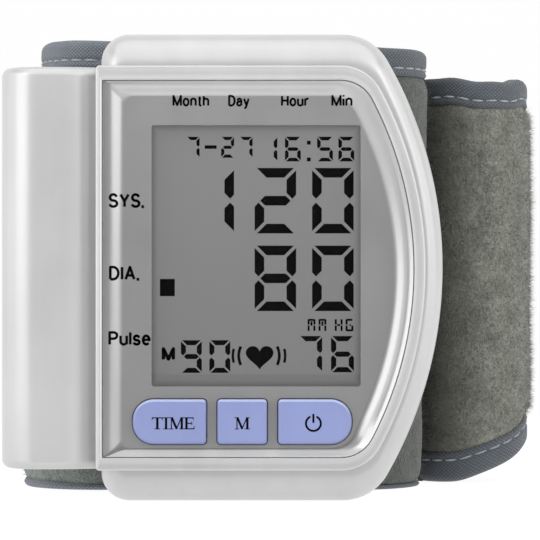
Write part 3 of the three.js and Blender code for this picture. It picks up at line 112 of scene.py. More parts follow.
# Widths of the panel's sloping border at its left, right, bottom and top
PANEL_BORDER = (3.6, 3.2, 1.7, 2.4)
DISH_LEFT_CORNER = 1.5
DISH_RIGHT_CORNER = 4.6
PANEL_RIM_ROUND = 0.06
RIGHT_SIDE = (8, 24)
LOWER_SIDE = (7, 14)
RIGHT_RISE_REACH = 0.45
RIM_LAND = 0.2
RIGHT_RIM_LAND = 0.26
LOWER_FLAT = 0.2
FIRST_DISH_LINE = 0.03
DISH_LINES = 26
GLASS_WINDOW = outline(-10.85, 21.55, 18.05, 58.55, 0.4, 0.4)
WINDOW_BEVEL = 0.14
BEVEL_ANGLE = 55

# Buttons
BUTTON_BOTTOM = 9.15
BUTTON_TOP = 16.1
TIME_BUTTON = outline(-13.75, -2.35, BUTTON_BOTTOM, BUTTON_TOP, 3.275, 0.6)
MEMORY_BUTTON = outline(-0.65, 7.05, BUTTON_BOTTOM, BUTTON_TOP, 0.6, 0.6)
POWER_BUTTON = outline(8.75, 20.15, BUTTON_BOTTOM, BUTTON_TOP, 0.6, 3.275)
BUTTON_GAP = 0.15
BUTTON_FRONT = 0.4
BUTTON_EDGE = 0.5
BUTTON_CROWN = 0.12
BUTTON_FLANGE = 0.6
FLANGE_FRONT = 3.4
FLANGE_BACK = 4.1
STEM_RADIUS = 1.5
STEM_BACK = 5.0
CROWN_CORE = 0.3
CROWN_LINES = 7
WORD_RISE = 2.35
WORD_HEIGHT = 1.85
TIME_MIDDLE = -7.45
MEMORY_MIDDLE = 3.2
POWER_SYMBOL = (14.2, 12.4, 1.15)

# Battery column
COVER_LEFT = -34.55
COVER_RIGHT = -19.65
COVER_BOTTOM = 5.1
COVER_TOP = 67.7
COVER_FRONT = 2.6
COVER_BACK = 29.1
COVER_WALL = 1.3
COVER_CREST = -26.15
SHOULDER_DROP = 1.9
COVER_FRONT_ROUND = 6
COVER_REAR_ROUND = 3.5
COVER_END_ROUND = 1.4
COVER_LIP = 0.12

# Cuff
CUFF_HEIGHT = 73.4
LOOP_BACK = 44
LOOP_RADIUS = 33
LOOP_CORNER = 12
LOOP_BEND = LOOP_RADIUS - LOOP_CORNER
TIP_ANGLE = 35
STRAP_ANGLE = 140
LEFT_LEAN = 3
RIGHT_LEAN = 1.2
LOOP_TOP = 72.75
LEFT_RISE = 1.2
RISE_SPAN = (-5, 28)
EDGE_RIPPLE = 0.25
RIPPLE_SCALE = 0.12
COVER_CLOTH = 1.2
LINING_NEAR = 4.5
CUFF_THICKNESS = 5.1
CLOTH_EDGE = 0.8
TAPER_LENGTH = 4.2
STRAP_START = 138.61
STRAP_RADIUS = 37.3
STRAP_LINING_NEAR = 1.5
STRAP_THICKNESS = 2.1
BULGE_X = 41.7
BULGE_Y = 58.5
BULGE_RADIUS = 9.3
BULGE_END = -159
STRAP_LEVEL_X = 39.4
STRAP_TOP = 68.3
STRAP_RISE = 6.4
CLIMB_ROUND = 0.14
CORNER_POWER = 8
CORNER_SHARE = 0.3
# Waves of the strap's upper edge: height, rate and start of each
STRAP_WAVES = [(0.3, 0.42, 0.6), (0.14, 0.9, 0)]
WAVE_SPAN = (20, 60)
TIP_LIFT = 0.5
TIP_LIFT_SPAN = (3, 9)
STRAP_RIPPLE = 0.12
STRAP_RIPPLE_SCALE = 0.15
# Folds of the lining at the loop's bends
FOLD_HEIGHT = 0.3
FOLD_RATE = 1.6
FOLD_SIDES = (20, 26)
FOLD_FRONT = 8
FOLD_SPAN = (6, 14)
FOLD_MARGIN = (4, 9)
LINING_RIPPLE = 0.2
HOOK_NEAR = 2.4
HOOK_BASE = 0.5
HOOK_HEIGHT = 0.5
HOOK_LENGTH = 30
HOOK_MARGIN = 6
HOOK_PITCH = 1.5
HOOK_INSET = 1
HOOK_SINK = 0.05
# A hook from its foot to its point: share of its height, bend and half its width
HOOK_PROFILE = [(0.0, 0.0, 0.24), (0.55, 0.0, 0.16), (0.9, 0.22, 0.13), (1.0, 0.5, 0.06)]
PLATE_REACH = 18
PLATE_FADE = 5

# Tape, stitches and pile
TAPE_CLOTH = 0.45
TAPE_OUT = 0.8
TAPE_ROUND = 1.3
TAPE_PINCH = 0.3
PINCH_WIDTH = 0.4
HEM_TUCK = 0.25
TUCK_DROP = 0.15
TUCK_REACH = 0.5
HOLD_REACH = 0.6
TURN_SHARE = 0.8
TAPE_WIDTH = 4.6
TAPE_LAP = 0.5
LOOP_LOWER_HEMS = (0.7, 1.3)
HEM_SPAN = (15, 33)
STRAP_LOWER_HEM = 5.0
LOOP_TIP_HEM = 4.4
STRAP_TIP_HEM = 1.6
STITCH_DROP = 3.3
STRAP_LOWER_STITCH = STITCH_DROP + 0.4
LONG_STITCH = 2.0
UPPER_STITCH = 1.8
LOWER_STITCH = 1.9
STITCH_GAP = 0.55
STITCH_START = 0.2
STITCH_SINK = 0.05
STITCH_LIFT = 0.16
THREAD_RADIUS = 0.2
THREAD_END = 0.45
LOOP_LOFT = 1.0
STRAP_LOFT = 1.2
PILE_START = -1.0
PILE_RISE = 2.2
LUMP_HEIGHT = 0.14
LUMP_SCALE = 0.16
LUMP_SPAN = (-0.8, 1)
CLUMP_SCALES = (0.7, 1.9)
FIBRE_LENGTH = (0.4, 1.7)
FIBRE_RADIUS = (0.025, 0.045)
FIBRE_CLEAR = 0.4
FIBRE_FREE = 0.5
FIBRE_ROOT = 0.15
FIBRE_OUT = 0.7
FIBRE_BEND = 0.75
FOOT_ANGLES = (0.0, 2.1, 4.2)
FIBRE_FACES = [(0, 1, 3), (1, 2, 3), (2, 0, 3), (2, 1, 0)]
LOOP_FIBRES = 7000
WRAPPED_FIBRES = 8000
LOOSE_FIBRES = 26000
LOOSE_ANGLE = 30
LOOP_SEED = 5
STRAP_SEED = 7

# Fineness of curves, and the angles in degrees past which edges look sharp
CORNER_STEPS = 14
SIDE_STEPS = 56
ROUND_STEPS = 12
LIP_STEPS = 6
CREST_STEPS = 8
BUTTON_EDGE_STEPS = 8
COVER_END_STEPS = 10
SHOULDER_STEPS = 16
FRONT_ROUND_STEPS = 18
REAR_ROUND_STEPS = 10
CIRCLE_STEPS = 32
SECTOR_STEPS = 24
POWER_RING_STEPS = 40
CLOTH_STEP = 1.0
ROW_STEP = 1.0
LEG_STEPS = 16
FOLD_STEPS = 6
TIP_ROWS = 60
STITCH_STEPS = 6
THREAD_SIDES = 6
HOOK_STEPS = 24
SAME_PLACE = 1e-4
LEAST_CORNER = 0.1
SHARP_EDGE = 20
PANEL_SHARP = 16
TAPE_SHARP = 50
CLOTH_SHARP = 60
FIBRE_SHARP = 180


def lerp(first, second, share):
    return first + (second - first) * share


def smooth(value, low, high):
    share = min(max((value - low) / (high - low), 0), 1)
    return share * share * (3 - 2 * share)


def spread(start, end, steps):
    return [lerp(start, end, i / steps) for i in range(steps + 1)]


# Shader nodes


class Shade:
    """A socket among a material's nodes: maths on it adds Math nodes, and node() adds any other."""

    def __init__(self, tree, socket=None):
        self.tree = tree
        self.socket = socket

    def node(self, kind, settings, inputs, output=0):
        made = self.tree.nodes.new(kind)
        for name, value in settings.items():
            setattr(made, name, value)
        for name, value in inputs.items():
            if isinstance(value, Shade):
                self.tree.links.new(value.socket, made.inputs[name])
            else:
                made.inputs[name].default_value = value
        return Shade(self.tree, made.outputs[output])

    def maths(self, operation, first, second=0.0):
        return self.node("ShaderNodeMath", {"operation": operation}, {0: first, 1: second})

    def __add__(self, other):
        return self.maths("ADD", self, other)

    __radd__ = __add__

    def __sub__(self, other):
        return self.maths("SUBTRACT", self, other)

    def __rsub__(self, other):
        return self.maths("SUBTRACT", other, self)

    def __mul__(self, other):
        return self.maths("MULTIPLY", self, other)

    __rmul__ = __mul__

    def wave(self, pitch):
        """A cosine of this length between its crests."""
        return self.maths("COSINE", self * (2 * math.pi / pitch))

    def step(self, low, high):
        """0 below low, 1 above high, and smooth between."""
        return self.node(
            "ShaderNodeMapRange",
            {"interpolation_type": "SMOOTHSTEP"},
            {"Value": self, "From Min": low, "From Max": high},
        )

    def part(self, axis):
        return self.node("ShaderNodeSeparateXYZ", {}, {0: self}, axis)

    def stretch(self, scale):
        return self.node("ShaderNodeVectorMath", {"operation": "MULTIPLY"}, {0: self, 1: scale})

    def noise(self, scale, detail):
        return self.node("ShaderNodeTexNoise", {}, {"Vector": self, "Scale": scale, "Detail": detail})

    def cells(self, scale):
        """Distance to the nearest of many scattered points."""
        return self.node("ShaderNodeTexVoronoi", {}, {"Vector": self, "Scale": scale})

    def mix(self, first, second):
        """From the first colour to the second by this value."""
        return self.node(
            "ShaderNodeMix",
            {"data_type": "RGBA"},
            {0: self, 6: colour(first), 7: colour(second)},
            2,
        )

    def bump(self, distance):
        """A normal from this height, for a relief this deep in millimetres."""
        return self.node("ShaderNodeBump", {}, {"Height": self, "Distance": distance * MM, "Strength": 1.0})


def colour(value):
    return value if isinstance(value, Shade) else (*value, 1.0)


def grey(level):
    return (level, level, level)


def tint(base, share):
    return tuple(channel * share for channel in base)


def finish(name, fixed, paint):
    """A material whose fixed values sit on its shader, and whose varying ones come from paint."""
    material = bpy.data.materials.new(name)
    material.use_nodes = True
    tree = material.node_tree
    shader = tree.nodes["Principled BSDF"]
    for socket, value in fixed.items():
        shader.inputs[socket].default_value = value
    start = Shade(tree)
    metres = start.node("ShaderNodeTexCoord", {}, {}, "Object")
    place = metres.stretch((1 / MM,) * 3)
    for socket, value in paint(place).items():
        tree.links.new(value.socket, shader.inputs[socket])
    return material


def weave_place(place):
    """Along and across a cloth, in millimetres."""
    return place.node("ShaderNodeUVMap", {"uv_map": "weave"}, {})


def facing(place):
    """The way a surface looks."""
    return place.node("ShaderNodeTexCoord", {}, {}, "Normal")


# Paints: each gives the varying values of a shader, with grains and reliefs in millimetres
# Painted shade low on moulded fronts: how squarely a surface must face the front, and the heights over which
# the shade fades out
FRONT_FACING = (0.96, 0.995)
LOW_SHADE_HEIGHTS = (-10.0, 83.0)
# How far up a button's edge must look to take its painted highlight
UPWARD_FACING = (0.15, 0.6)
MOULD_TONES = (0.955, 1.045)
# Painted light of the display: heights of its painted shade, its glow low and high, and the share and reach
# of the painted shadow at the window's edge
DISPLAY_SHADE_HEIGHTS = (12.0, 64.0)
DISPLAY_PAINTED_LIGHT = (0.169, 0.205)
EDGE_PAINTED_SHADOW = 0.5
EDGE_SHADOW_REACH = (-0.5, 1.2)


def moulded(base, rough, grain=0.006, low_shade_share=1.0):
    """Moulded plastic: grain, flow marks and handling, with painted shade that leaves only a share of its
    colour low on its front.
    """

    def paint(place):
        # Painted shade: front-facing surfaces keep only a share of their colour low down
        front = (0.0 - facing(place).part(1)).step(*FRONT_FACING)
        low = front * (1.0 - place.part(2).step(*LOW_SHADE_HEIGHTS))
        fine = place.noise(4.0, 1.0)
        handling = place.noise(0.09, 4.0)
        flow = place.stretch((0.25, 0.25, 0.04)).noise(1.0, 2.0)
        tone = 0.5 * handling + 0.5 * flow
        ends = (low.mix(tint(base, share), tint(base, share * low_shade_share)) for share in MOULD_TONES)
        return {
            "Base Color": tone.step(0.25, 0.75).mix(*ends),
            "Roughness": rough + 0.1 * (handling - 0.5),
            "Normal": fine.bump(grain),
        }

    return paint


def button_paint(place):
    """A moulded cap with a painted highlight: paler on the edges that look up."""
    values = moulded(BUTTON_BLUE, 0.4, 0.004)(place)
    painted_highlight = facing(place).part(2).step(*UPWARD_FACING)
    values["Base Color"] = painted_highlight.mix(values["Base Color"], BUTTON_HIGHLIGHT_BLUE)
    return values


def metal_paint(base, rough, brushed):
    """Plated or drawn metal with fine lines along one axis."""

    def paint(place):
        lines = place.stretch(brushed).noise(1.0, 3.0)
        stain = place.noise(0.35, 3.0)
        return {
            "Base Color": stain.step(0.3, 0.75).mix(tint(base, 0.86), tint(base, 1.06)),
            "Roughness": rough + 0.16 * (lines - 0.5) + 0.12 * stain,
            "Normal": lines.bump(0.006),
        }

    return paint


def inside_window(place):
    """How far a place of the frame lies inside the window's edge, in millimetres."""
    gaps = []
    for axis, low, high in ((0, "left", "right"), (2, "bottom", "top")):
        middle = (GLASS_WINDOW[low] + GLASS_WINDOW[high]) / 2 + ORIGIN[axis] / MM
        offset = place.part(axis) - middle
        gaps.append((GLASS_WINDOW[high] - GLASS_WINDOW[low]) / 2 - offset.maths("ABSOLUTE", offset))
    return place.maths("MINIMUM", *gaps)


def display_paint(place):
    """Grey display glass that glows with painted light though it is no lamp, with painted shade low down and
    a painted shadow at the window's edge.
    """
    height = place.part(2).step(*DISPLAY_SHADE_HEIGHTS)
    film = place.stretch((9.0, 9.0, 2.0)).noise(1.0, 2.0)
    tone = 0.85 * height + 0.15 * film
    # Painted shadow along the window's edge
    inside = inside_window(place).step(*EDGE_SHADOW_REACH)
    painted_light = (inside.mix(grey(EDGE_PAINTED_SHADOW * lit_level), grey(lit_level)) for lit_level in DISPLAY_PAINTED_LIGHT)
    return {
        "Base Color": tone.mix(grey(0.04), grey(0.05)),
        "Emission Color": tone.mix(*painted_light),
        "Roughness": 0.36 + 0.1 * film,
        "Normal": film.bump(0.002),
    }


def lens_paint(place):
    """A clear window, a little hazier where it has been wiped."""
    wiped = place.stretch((0.3, 0.3, 0.06)).noise(1.0, 4.0)
    return {
        "Base Color": wiped.mix(grey(0.02), grey(0.04)),
        "Alpha": 0.02 + 0.02 * wiped,
        "Roughness": 0.08 + 0.1 * wiped,
    }


def ink_paint(base):
    """A flat print."""

    def paint(place):
        grain = place.noise(9.0, 2.0)
        return {
            "Base Color": grain.mix(tint(base, 0.75), tint(base, 1.3)),
            "Roughness": 0.42 + 0.2 * grain,
        }

    return paint


def painted_side_light(place, base, fall):
    """A colour under painted light and shade that change from left to right: fall holds places and the shares
    of the colour there.
    """
    across = place.part(0)
    start, share = fall[0]
    most = max(level for _, level in fall)
    tone = share / most
    for end, level in fall[1:]:
        tone = tone + (level - share) / most * across.step(start, end)
        start, share = end, level
    return tone.mix(grey(0), tint(base, most))


def plush_paint(shade, lit, streak, fall):
    """Brushed loop pile: fine hairs in strands and clumps, with painted light and shade: patches of its
    shaded and lit tones, darker gaps where shade falls between the clumps, and a fall of light from left to
    right.
    """

    def paint(place):
        clumps = place.noise(0.3, 4.0)
        strands = place.stretch(streak).noise(1.0, 3.0)
        hairs = place.noise(3.6, 3.0)
        # Painted shade in the gaps between clumps
        gaps = 1 - place.cells(1.7).step(0.1, 0.5)
        tone = (0.3 * clumps + 0.34 * strands + 0.36 * hairs).step(0.36, 0.66)
        body = tone.mix(painted_side_light(place, shade, fall), painted_side_light(place, lit, fall))
        return {
            "Base Color": (0.25 * gaps).mix(body, tint(shade, 0.6)),
            "Roughness": 0.86 + 0.12 * hairs,
            "Normal": (0.6 * hairs + 0.4 * strands).bump(0.3),
        }

    return paint


TAPE_GROUND = ((0.072, 0.083, 0.098), (0.118, 0.134, 0.152))
TAPE_THREAD = ((0.136, 0.153, 0.178), (0.205, 0.224, 0.25))


def tape_paint(fall):
    """Woven tape: staggered pale knots over a darker ground, under painted light and shade from left to
    right.
    """

    def paint(place):
        cloth = weave_place(place)
        along = cloth.part(0)
        across = cloth.part(1)
        drift = 0.12 * place.noise(0.8, 2.0)
        knots = (along + drift).wave(0.66) * (across + drift).wave(0.6)
        ribs = (along + 0.5 * across).wave(0.22)
        worn = place.noise(0.22, 4.0)
        raised = knots.step(-0.35, 0.8)
        ground = worn.mix(*(painted_side_light(place, base, fall) for base in TAPE_GROUND))
        thread = worn.mix(*(painted_side_light(place, base, fall) for base in TAPE_THREAD))
        return {
            "Base Color": raised.mix(ground, thread),
            "Roughness": 0.7 + 0.2 * worn,
            "Normal": (raised + 0.18 * ribs).bump(0.1),
        }

    return paint


def knit_paint(place):
    """Smooth knitted lining: fine wales along the height."""
    cloth = weave_place(place)
    wales = cloth.part(0).wave(0.55)
    courses = cloth.part(1).wave(0.42)
    pilling = place.noise(0.9, 5.0)
    loops = 0.5 + 0.3 * wales + 0.2 * wales * courses
    return {
        "Base Color": (0.6 * loops + 0.4 * pilling).mix((0.022, 0.025, 0.028), (0.075, 0.082, 0.088)),
        "Roughness": 0.8 + 0.15 * pilling,
        "Normal": loops.bump(0.09),
    }


def thread_paint(place):
    """Twisted sewing thread."""
    twist = place.stretch((2.2, 2.2, 2.2)).noise(1.0, 3.0)
    return {
        "Base Color": twist.mix((0.2, 0.22, 0.24), (0.42, 0.45, 0.47)),
        "Roughness": 0.6 + 0.2 * twist,
        "Normal": twist.bump(0.08),
    }


def board_paint(place):
    """Solder mask over tracks, with bare pads."""
    tracks = place.stretch((0.9, 0.2, 0.25)).noise(1.0, 1.0).step(0.47, 0.52)
    pads = 1 - place.cells(0.42).step(0.16, 0.2)
    mask = tracks.mix((0.008, 0.07, 0.026), (0.02, 0.13, 0.055))
    return {
        "Base Color": pads.mix(mask, (0.55, 0.5, 0.34)),
        "Metallic": 0.8 * pads,
        "Roughness": 0.42 - 0.1 * pads,
        "Normal": tracks.bump(0.03),
    }


def wrap_paint(pale_from, pale_to):
    """A cell's printed sleeve with a pale band near its positive end."""

    def paint(place):
        height = place.part(2)
        band = height.step(pale_from, pale_from + 0.2) * (1 - height.step(pale_to, pale_to + 0.2))
        scuffs = place.stretch((1.5, 1.5, 0.2)).noise(1.0, 4.0)
        return {
            "Base Color": band.mix((0.045, 0.06, 0.085), (0.5, 0.51, 0.52)),
            "Roughness": 0.28 + 0.2 * scuffs,
            "Normal": scuffs.bump(0.01),
        }

    return paint


def rubber_paint(base):
    """Soft rubber with a faint bloom."""

    def paint(place):
        bloom = place.noise(0.5, 4.0)
        return {
            "Base Color": bloom.mix(tint(base, 0.8), tint(base, 1.25)),
            "Roughness": 0.6 + 0.25 * bloom,
            "Normal": place.noise(5.0, 2.0).bump(0.02),
        }

    return paint


# Finishes
CASE_GREY = grey(0.54)
PANEL_GREY = grey(0.44)
BUTTON_BLUE = (0.222, 0.262, 0.492)
# Paler blue painted on the buttons' upward edges as a highlight
BUTTON_HIGHLIGHT_BLUE = (0.42, 0.46, 0.67)
WHITE_PLASTIC = (0.74, 0.73, 0.69)
BLACK_PLASTIC = (0.018, 0.019, 0.02)
STEEL = (0.5, 0.51, 0.53)
NICKEL = (0.62, 0.63, 0.64)
RUBBER = (0.025, 0.025, 0.026)
SILICONE = (0.56, 0.56, 0.53)
BLACK_INK = grey(0.002)
BUTTON_INK = (0.002, 0.002, 0.003)

metal = {"Metallic": 1.0}
# Emission that stands in for the light falling on the display: painted light
display_painted_glow = {"Emission Strength": 1.0, "Specular IOR Level": 0.2}
flat_ink = {"Specular IOR Level": 0.03}
# The case and the panel take painted shade low on their fronts
case_finish = finish("satin_case_grey", {"Metallic": 0.28}, moulded(CASE_GREY, 0.33, low_shade_share=0.88))
panel_finish = finish("satin_panel_grey", {"Metallic": 0.56}, moulded(PANEL_GREY, 0.25, 0.002, 0.6))
button_finish = finish("lavender_button", {"Coat Weight": 0.15}, button_paint)
display_finish = finish("display_glass", display_painted_glow, display_paint)
lens_finish = finish("clear_window", {"Specular IOR Level": 0.04}, lens_paint)
segment_finish = finish("display_segments", flat_ink, ink_paint(BLACK_INK))
print_finish = finish("black_print", flat_ink, ink_paint(BLACK_INK))
button_print_finish = finish("button_print", flat_ink, ink_paint(BUTTON_INK))
white_finish = finish("natural_white_plastic", {}, moulded(WHITE_PLASTIC, 0.45))
black_finish = finish("matt_black_plastic", {}, moulded(BLACK_PLASTIC, 0.5))
board_finish = finish("green_circuit_board", {}, board_paint)
steel_finish = finish("plated_steel", metal, metal_paint(STEEL, 0.3, (6, 6, 0.3)))
spring_finish = finish("bright_nickel", metal, metal_paint(NICKEL, 0.18, (4, 4, 4)))
rubber_finish = finish("black_rubber", {}, rubber_paint(RUBBER))
silicone_finish = finish("pale_silicone", {}, rubber_paint(SILICONE))

# Cloth finishes, with falls of painted light and shade: places from left to right in the frame, and the
# shares there
cloth_sheen = {"Sheen Weight": 0.25, "Sheen Roughness": 0.5, "Specular IOR Level": 0.15}
STRAP_STREAK = (2.4, 2.4, 1.4)
LOOP_STREAK = (2.6, 2.6, 0.9)
# Shaded and lit tones of each pile, mixed in patches as painted light and shade
STRAP_TONES = ((0.098, 0.102, 0.085), (0.21, 0.213, 0.182))
FIBRE_TONES = ((0.16, 0.165, 0.14), (0.32, 0.325, 0.285))
LOOP_TONES = ((0.083, 0.093, 0.085), (0.18, 0.196, 0.18))
STRAP_PAINTED_LIGHT = ((-32, 1.3), (8, 0.6), (25, 0.52), (37, 1.36))
LOOP_PAINTED_LIGHT = ((-30, 1.45), (24, 0.64))
STRAP_TAPE_PAINTED_LIGHT = ((-32, 1.2), (8, 0.5), (22, 0.34), (34, 0.8))
LOOP_TAPE_PAINTED_LIGHT = ((-30, 1.25), (24, 0.74))
strap_plush_finish = finish("strap_plush", cloth_sheen, plush_paint(*STRAP_TONES, STRAP_STREAK, STRAP_PAINTED_LIGHT))
loop_plush_finish = finish("loop_plush", cloth_sheen, plush_paint(*LOOP_TONES, LOOP_STREAK, LOOP_PAINTED_LIGHT))
strap_fuzz_finish = finish("strap_fibres", cloth_sheen, plush_paint(*FIBRE_TONES, STRAP_STREAK, STRAP_PAINTED_LIGHT))
strap_tape_finish = finish("strap_woven_tape", cloth_sheen, tape_paint(STRAP_TAPE_PAINTED_LIGHT))
loop_tape_finish = finish("loop_woven_tape", cloth_sheen, tape_paint(LOOP_TAPE_PAINTED_LIGHT))
lining_finish = finish("knit_lining", cloth_sheen, knit_paint)
thread_finish = finish("grey_thread", cloth_sheen, thread_paint)


# Outlines, rings and skins


def drawn_in(shape, left, right, bottom, top):
    """An outline with its edges moved in by their own amounts."""
    moved = dict(shape)
    moved["left"] += left
    moved["right"] -= right
    moved["bottom"] += bottom
    moved["top"] -= top
    if shape["side"]:
        moved["side"] -= right
    return moved


def inset(shape, amount):
    """An outline moved in all round."""
    moved = drawn_in(shape, amount, amount, amount, amount)
    for corner in ("left_corner", "right_corner"):
        moved[corner] = max(shape[corner] - amount, LEAST_CORNER)
    return moved


def oval(x, z, wide, tall, start, end, steps):
    """Part of an oval as a line of points, between two angles in radians."""
    return [(x + wide * math.cos(a), z + tall * math.sin(a)) for a in spread(start, end, steps)]


def arc(x, z, radius, start, end, steps):
    return oval(x, z, radius, radius, start, end, steps)


def rounded(shape):
    """A rectangle with round corners, different at its left and right."""
    right, right_round = shape["right"] - shape["right_corner"], shape["right_corner"]
    points = arc(right, shape["bottom"] + right_round, right_round, -QUARTER, 0, CORNER_STEPS)
    points += arc(right, shape["top"] - right_round, right_round, 0, QUARTER, CORNER_STEPS)
    return points + left_corners(shape)


def left_corners(shape):
    """The two round corners at the left of an outline, from the top down."""
    left, left_round = shape["left"] + shape["left_corner"], shape["left_corner"]
    points = arc(left, shape["top"] - left_round, left_round, QUARTER, math.pi, CORNER_STEPS)
    return points + arc(left, shape["bottom"] + left_round, left_round, math.pi, 3 * QUARTER, CORNER_STEPS)


def bowed(shape):
    """An outline whose right side bows out as one large arc."""
    middle = (shape["bottom"] + shape["top"]) / 2
    round_radius = shape["right_corner"]
    bow_x = shape["right"] - shape["side"]
    rise = shape["top"] - round_radius - middle
    reach = math.sqrt((shape["side"] - round_radius) ** 2 - rise**2)
    turn = math.atan2(rise, reach)
    points = arc(bow_x + reach, middle - rise, round_radius, -QUARTER, -turn, CORNER_STEPS)
    points += arc(bow_x, middle, shape["side"], -turn, turn, SIDE_STEPS)[1:-1]
    points += arc(bow_x + reach, middle + rise, round_radius, turn, QUARTER, CORNER_STEPS)
    return points + left_corners(shape)


def quarter_round(width, depth, steps=ROUND_STEPS):
    """Pairs of inset and distance, from the inner end of a rounded edge to its outer end."""
    return [(width * (1 - math.sin(a)), depth * (1 - math.cos(a))) for a in spread(0, QUARTER, steps)]


def ring(points, depth):
    """Points of an outline at a depth behind the front."""
    return [(x, depth, z) for x, z in points]


def bowed_rings(levels):
    """Rings of bowed outlines at their depths."""
    return [ring(bowed(shape), depth) for shape, depth in levels]


def skin(rings, closing=False):
    """Points and faces of a skin over closed rings: a tube with caps, or a band that closes on itself."""
    count = len(rings[0])
    total = len(rings)
    points = [at(*point) for ring_points in rings for point in ring_points]
    faces = []
    for i in range(total if closing else total - 1):
        here, there = i * count, ((i + 1) % total) * count
        for j in range(count):
            beside = (j + 1) % count
            faces.append((here + j, here + beside, there + beside, there + j))
    if not closing:
        faces.append(tuple(reversed(range(count))))
        faces.append(tuple(range((total - 1) * count, total * count)))
    return points, faces


def gather(skins):
    """Several skins as one."""
    points, faces = [], []
    for some_points, some_faces in skins:
        start = len(points)
        points += some_points
        faces += [tuple(index + start for index in face) for face in some_faces]
    return points, faces


def new_piece(name, shape, material, sharp=SHARP_EDGE, marks=None):
    """An object from points and faces: marks are places along and across its cloth."""
    points, faces = shape
    mesh = bpy.data.meshes.new(name)
    mesh.from_pydata(points, [], faces)
    form = bmesh.new()
    form.from_mesh(mesh)
    bmesh.ops.recalc_face_normals(form, faces=form.faces)
    form.to_mesh(mesh)
    form.free()
    if marks:
        weave = mesh.uv_layers.new(name="weave")
        for corner in mesh.loops:
            weave.data[corner.index].uv = marks[corner.vertex_index]
    mesh.materials.append(material)
    piece = add_object(name, mesh)
    shade_edges(piece, sharp)
    return piece


def add_object(name, data):
    made = bpy.data.objects.new(name, data)
    bpy.context.scene.collection.objects.link(made)
    return made


def shade_edges(piece, sharp):
    """Smooth shading, broken at edges sharper than an angle in degrees."""
    piece.data.shade_smooth()
    piece.data.set_sharp_from_angle(angle=math.radians(sharp))


def settle(piece):
    """Applies the modifiers of a piece."""
    shaped = piece.evaluated_get(bpy.context.evaluated_depsgraph_get())
    mesh = bpy.data.meshes.new_from_object(shaped)
    piece.modifiers.clear()
    piece.data = mesh


def carve(piece, cutters, sharp=SHARP_EDGE):
    """Cuts the cutters out of a piece."""
    for cutter in cutters:
        hole = piece.modifiers.new("hole", "BOOLEAN")
        hole.object = cutter
        hole.solver = "EXACT"
    settle(piece)
    for cutter in cutters:
        bpy.data.objects.remove(cutter)
    split_large_faces(piece)
    shade_edges(piece, sharp)


def split_large_faces(piece):
    """Cuts faces of many corners into even triangles."""
    form = bmesh.new()
    form.from_mesh(piece.data)
    bmesh.ops.triangulate(form, faces=[face for face in form.faces if len(face.verts) > 4])
    form.to_mesh(piece.data)
    form.free()


def soften(piece, width, sharp=SHARP_EDGE):
    """Breaks the hard edges of a piece."""
    edge = piece.modifiers.new("broken_edges", "BEVEL")
    edge.width = width * MM
    edge.segments = 2
    edge.limit_method = "ANGLE"
    edge.angle_limit = math.radians(BEVEL_ANGLE)
    settle(piece)
    split_large_faces(piece)
    shade_edges(piece, sharp)


def prism(name, points, front, back, material):
    """A straight block behind an outline, between two depths."""
    return new_piece(name, skin([ring(points, front), ring(points, back)]), material)


def circle(x, z, radius, steps=CIRCLE_STEPS):
    return arc(x, z, radius, 0, 2 * math.pi, steps)[:-1]


# Case pieces


def skirt_outline(share):
    """The housing's outline on its rounded skirt, from 0 at the edge to 1 beside the bezel."""
    left, right, ends = (share * width for width in SKIRT_WIDTHS)
    moved = drawn_in(HOUSING, left, right, ends, ends)
    moved["left_corner"] -= left
    moved["right_corner"] -= right
    return moved


def build_front_housing():
    edge = quarter_round(1, SKIRT_FALL)
    outside = [(skirt_outline(share), SKIRT_DEPTH + depth) for share, depth in edge]
    outside += [(HOUSING, PARTING_DEPTH - PARTING_CHAMFER), (inset(HOUSING, PARTING_CHAMFER), PARTING_DEPTH)]
    inside = [
        (inset(HOUSING, WALL + SKIRT_FALL / 2), FRONT_WALL_BACK),
        (inset(HOUSING, WALL), FRONT_WALL_BACK + SKIRT_FALL),
        (inset(HOUSING, WALL), PARTING_DEPTH + WALL),
    ]
    shell = new_piece("front_housing_skin", skin(bowed_rings(outside)), case_finish)
    hollow = new_piece("hollow", skin(bowed_rings(inside)), case_finish)
    opening = prism("opening", bowed(inset(BEZEL_INNER, -OPENING_MARGIN)), 0, PARTING_DEPTH / 2, case_finish)
    carve(shell, [hollow, opening])
    return shell


def build_rear_housing():
    start = PARTING_DEPTH + PARTING_SEAM
    inside_wall = inset(HOUSING, WALL)
    edge = quarter_round(*REAR_ROUND)
    inside = [(inset(inside_wall, width), CASE_DEPTH - WALL - depth) for width, depth in edge]
    seam = [
        (inside_wall, start),
        (inset(HOUSING, PARTING_CHAMFER), start),
        (HOUSING, start + PARTING_CHAMFER),
    ]
    outside = [(inset(HOUSING, width), CASE_DEPTH - depth) for width, depth in reversed(edge)]
    housing = new_piece("rear_housing_skin", skin(bowed_rings(inside + seam + outside)), case_finish)
    recesses = [
        prism("recess", circle(x, z, SCREW_RECESS_RADIUS), SCREW_RECESS_FRONT, CASE_DEPTH + WALL, case_finish)
        for x, z in SCREW_PLACES
    ]
    carve(housing, recesses)
    return housing


